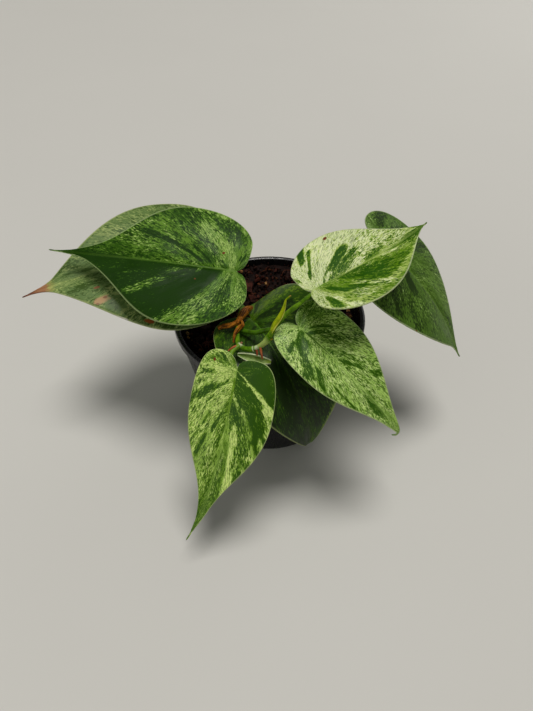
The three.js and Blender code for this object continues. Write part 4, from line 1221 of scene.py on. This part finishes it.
def makeShoot(settings):
    steps = settings["steps"]
    shoot = stalk("rolledShoot", settings["path"], settings["radii"], steps, 4)
    shoot.data.materials.append(stalkMaterial("shootYellowGreen", settings["yellowGreen"], settings["tints"],
                                              specular=0.1))
    path = smoothPath(settings["path"], steps)
    stops = evenStops(settings["radii"])
    winding = []
    for i in range(settings["rollFrom"], settings["rollTo"], 2):
        first = directionAt(path, i).cross(Vector((0, 1, 0))).normalized()
        second = directionAt(path, i).cross(first)
        angle = settings["rollStart"] + i * settings["rollTurn"]
        outward = first * math.cos(angle) + second * math.sin(angle)
        winding.append(path[i] + outward * alongStops(stops, i / steps) * settings["rollSink"])
    lip = stalk("rollEdge", winding, settings["rollRadii"], 26, 2)
    lip.data.materials.append(stalkMaterial("rollEdgeYellow", settings["rollYellow"], specular=0.1))
    return joinInto(shoot, [lip])


takesPlaceOf(makeShoot(shootSettings), "new_shoot", "shoot_yellow")


# the green sheath: a boat-shaped scale with whitish margins
greenSettings = {
    "start": (-13.4, -41.8, 77.6), "end": (0.5, -44, 75.4), "across": (0.1, 0.55, 0.75), "half": 1.9,
    "columns": 20, "rows": 48, "thickness": 0.5, "rounding": 0.18, "sag": 0.6, "arch": 1.2, "cup": 1.3,
    "green": ("70903a", "a2b868"), "tints": [((0.5, -44, 75.4), 2.2, "9cb844")], "margin": "d2dcae"}


def makeGreenSheath(settings):
    start = Vector(settings["start"])
    along = Vector(settings["end"]) - start
    across = Vector(settings["across"]).normalized()
    up = along.cross(across).normalized()
    if up.y > 0:
        up.negate()
    sheath = flatGrid("greenSheath", settings["columns"], settings["rows"])
    rim = sheath.data.attributes.new("rim", "FLOAT", "POINT")
    for vertex in sheath.data.vertices:
        a = vertex.co.x
        s = clamp((vertex.co.y + 1) / 2)
        belly = math.sin(math.pi * clamp(0.06 + s * 0.84))
        half = settings["half"] * belly ** 0.8
        lift = settings["cup"] * a * a * belly + settings["arch"] * math.sin(math.pi * s) - settings["sag"]
        vertex.co = (start + along * s + across * (a * half) + up * lift) * mm
        rim.data[vertex.index].value = abs(a)
    editAll()
    bpy.ops.mesh.normals_make_consistent(inside=False)
    leaveEdit()
    thicken(sheath, settings["thickness"])
    rounding = sheath.modifiers.new("rounding", "BEVEL")
    rounding.width = settings["rounding"] * mm
    rounding.segments = 2
    rounding.limit_method = "ANGLE"
    applyAll(sheath)
    bpy.ops.object.shade_smooth()
    material = stalkMaterial("sheathGreen", settings["green"], settings["tints"], 0.42)
    tree = material.node_tree
    tone = tree.nodes["Principled BSDF"].inputs["Base Color"]
    margin = softStep(tree, pointValue(tree, "rim"), 0.72, 0.95)
    feed(tree, tone, mixColours(tree, margin, tone.links[0].from_socket, shade(settings["margin"])))
    sheath.data.materials.append(material)
    return sheath


takesPlaceOf(makeGreenSheath(greenSettings), "green_sheath", "sheath_green")


# the dried sheath: three cupped papery strips laid along their paths; "cup", "turn" and "spin" are how far a
# strip bends across, turns as it goes and is turned where it starts
driedSettings = {
    "columns": 14, "rows": 44, "thickness": 0.34, "widthWave": 0.05, "ripple": 0.12, "lift": 0.35,
    # the fibre tone is darker than the fibres' own colour, as painted shade in the streaks
    "orange": ("824200", "d68a20"), "fibreShade": "3c1c02", "fibreStretch": (22, 2.5, 1),
    "strips": [
        {"path": [(-7.9, -7, 73.6), (-9.9, -10.2, 75.6), (-11.1, -14.9, 77.6), (-12.5, -20.2, 78.8),
                  (-14, -24.1, 79.3)],
         "widths": [1.0, 2.3, 2.4, 2.1, 1.7, 1.1], "cup": 1.25, "turn": 12, "spin": 20},
        {"path": [(-13.4, -23.4, 79.2), (-17.1, -24.4, 78.2), (-19.7, -23.7, 77), (-22.2, -23.4, 75.8)],
         "widths": [1.0, 1.15, 1.05, 0.9], "cup": 0.7, "turn": 10, "spin": 50},
        {"path": [(-12.4, -22.4, 79.4), (-11.5, -26.4, 80.2), (-13.1, -29.2, 80.8), (-14.6, -31.8, 80),
                  (-15.3, -34, 79), (-15.4, -35.4, 78.2)],
         "widths": [1.0, 1.2, 1.2, 1.0, 0.7, 0.5], "cup": 0.9, "turn": -20, "spin": 70}]}


def driedPaper(settings):
    material, tree, shader = newMaterial("driedSheath", 0.6, 0.12)
    grain = grained(tree, objectPlace(tree), settings["orange"], (1.2, 1.2, 1.2), 0.2)
    fibres = stretched(tree, sheetPlace(tree), settings["fibreStretch"], 1.0, 3.0, 0.6, 0.2)
    # dark fibre streaks, which also carry painted shade
    dark = softStep(tree, fibres, 0.4, 0.58, 0.0, 0.94)
    feed(tree, shader.inputs["Base Color"], mixColours(tree, dark, grain["Color"], shade(settings["fibreShade"])))
    feed(tree, shader.inputs["Roughness"], softStep(tree, fibres, 0.3, 0.7, 0.45, 0.7))
    bumpInto(tree, shader, fibres, 0.5, 0.0004)
    return material


def ribbon(name, strip, settings):
    # a cupped strip with a slightly wavy edge, turned as it goes
    steps = settings["rows"]
    path = smoothPath(strip["path"], steps)
    stops = evenStops(strip["widths"])
    piece = flatGrid(name, settings["columns"], steps)
    for vertex in piece.data.vertices:
        a = vertex.co.x
        t = clamp((vertex.co.y + 1) / 2)
        k = round(t * steps)
        tangent = directionAt(path, k)
        side = tangent.cross(Vector((0, 0, 1))).normalized()
        up = side.cross(tangent)
        angle = math.radians(strip["spin"] + strip["turn"] * t)
        width = alongStops(stops, t) * (1 + settings["widthWave"] * math.sin(t * 9 + a * 2))
        bend = strip["cup"] * a
        out = side * (math.sin(bend) / strip["cup"]) - up * ((1 - math.cos(bend)) / strip["cup"])
        turned = side * math.cos(angle) + up * math.sin(angle)
        lifted = up * math.cos(angle) - side * math.sin(angle)
        place = turned * out.dot(side) + lifted * out.dot(up)
        ripple = settings["ripple"] * math.sin(t * 11 + a * 4)
        vertex.co = (path[k] + place * width + lifted * (ripple + settings["lift"])) * mm
    thicken(piece, settings["thickness"])
    applyAll(piece)
    bpy.ops.object.shade_smooth()
    return piece


def makeDriedSheath(settings):
    parts = [ribbon("driedRibbon", strip, settings) for strip in settings["strips"]]
    sheath = joinInto(parts[0], parts[1:])
    sheath.name = "driedSheath"
    sheath.data.materials.append(driedPaper(settings))
    return sheath


takesPlaceOf(makeDriedSheath(driedSettings), "dried_sheath", "sheath_brown")


# floor, lights and camera
studio = {
    "floorSize": 12, "floor": "d8d6d0", "sky": "f0eee8", "skyStrength": 0.14, "backdrop": "bfbdb7",
    "key": {"kind": "SUN", "at": (0.07, 0.0, 0.92), "aim": (0, 0, 0.06), "size": 26.0, "power": 1.88,
            "tint": (1.0, 0.985, 0.95)},
    "fill": {"kind": "AREA", "at": (-0.6, -0.5, 0.42), "aim": (0, 0, 0.05), "size": 0.6, "power": 0.9,
             "tint": (0.98, 0.99, 1.0)},
    "back": {"kind": "AREA", "at": (0.55, 0.65, 0.45), "aim": (0, 0, 0.06), "size": 0.5, "power": 0.7,
             "tint": (0.98, 0.99, 1.0)},
    "cameraAt": (-0.00134, -0.2458, 0.2782), "cameraTilt": 45.4, "lens": 35.0, "sensor": 36.0,
    "nearest": 0.005}

deselectAll()
bpy.ops.mesh.primitive_plane_add(size=studio["floorSize"])
floor = startFrom("studioFloor")
floorMaterial, floorTree, floorShader = newMaterial("floorPaint", 0.75, 0.3)
floorGrain = cloudy(floorTree, objectPlace(floorTree), 9.0, 4.0, 0.5)
floorTone = shade(studio["floor"])
shadedTone = tuple(c * 0.97 for c in floorTone[:3]) + (1,)
feed(floorTree, floorShader.inputs["Base Color"], mixColours(floorTree, floorGrain, shadedTone, floorTone))
floor.data.materials.append(floorMaterial)

for lampName in ("key", "fill", "back"):
    lampLooks = studio[lampName]
    bpy.ops.object.light_add(type=lampLooks["kind"], location=lampLooks["at"])
    lamp = bpy.context.active_object
    lamp.name = lampName + "Lamp"
    lamp.data.energy = lampLooks["power"]
    if lampLooks["kind"] == "SUN":
        lamp.data.angle = math.radians(lampLooks["size"])
    else:
        lamp.data.size = lampLooks["size"]
    lamp.data.color = lampLooks["tint"]
    toward = Vector(lampLooks["aim"]) - Vector(lampLooks["at"])
    lamp.rotation_euler = toward.to_track_quat("-Z", "Y").to_euler()

world = bpy.data.worlds.new("studioSky")
bpy.context.scene.world = world
world.use_nodes = True
skyTree = world.node_tree
skyLight = skyTree.nodes["Background"]
skyLight.inputs["Color"].default_value = shade(studio["sky"])
skyLight.inputs["Strength"].default_value = studio["skyStrength"]
# the camera sees a pale backdrop behind the floor, which gives no light
backdrop = addNode(skyTree, "ShaderNodeBackground", "backdrop")
backdrop.inputs["Color"].default_value = shade(studio["backdrop"])
seen = addNode(skyTree, "ShaderNodeMixShader")
feed(skyTree, seen.inputs[0], addNode(skyTree, "ShaderNodeLightPath").outputs["Is Camera Ray"])
feed(skyTree, seen.inputs[1], skyLight.outputs[0])
feed(skyTree, seen.inputs[2], backdrop.outputs[0])
feed(skyTree, skyTree.nodes["World Output"].inputs["Surface"], seen.outputs[0])

bpy.ops.object.camera_add(location=studio["cameraAt"], rotation=(math.radians(studio["cameraTilt"]), 0, 0))
camera = bpy.context.active_object
camera.name = "photoCamera"
camera.data.lens = studio["lens"]
camera.data.sensor_width = studio["sensor"]
camera.data.clip_start = studio["nearest"]
bpy.context.scene.camera = camera
bpy.context.scene.view_settings.view_transform = "Standard"
print("studio ready")

bpy.context.view_layer.update()
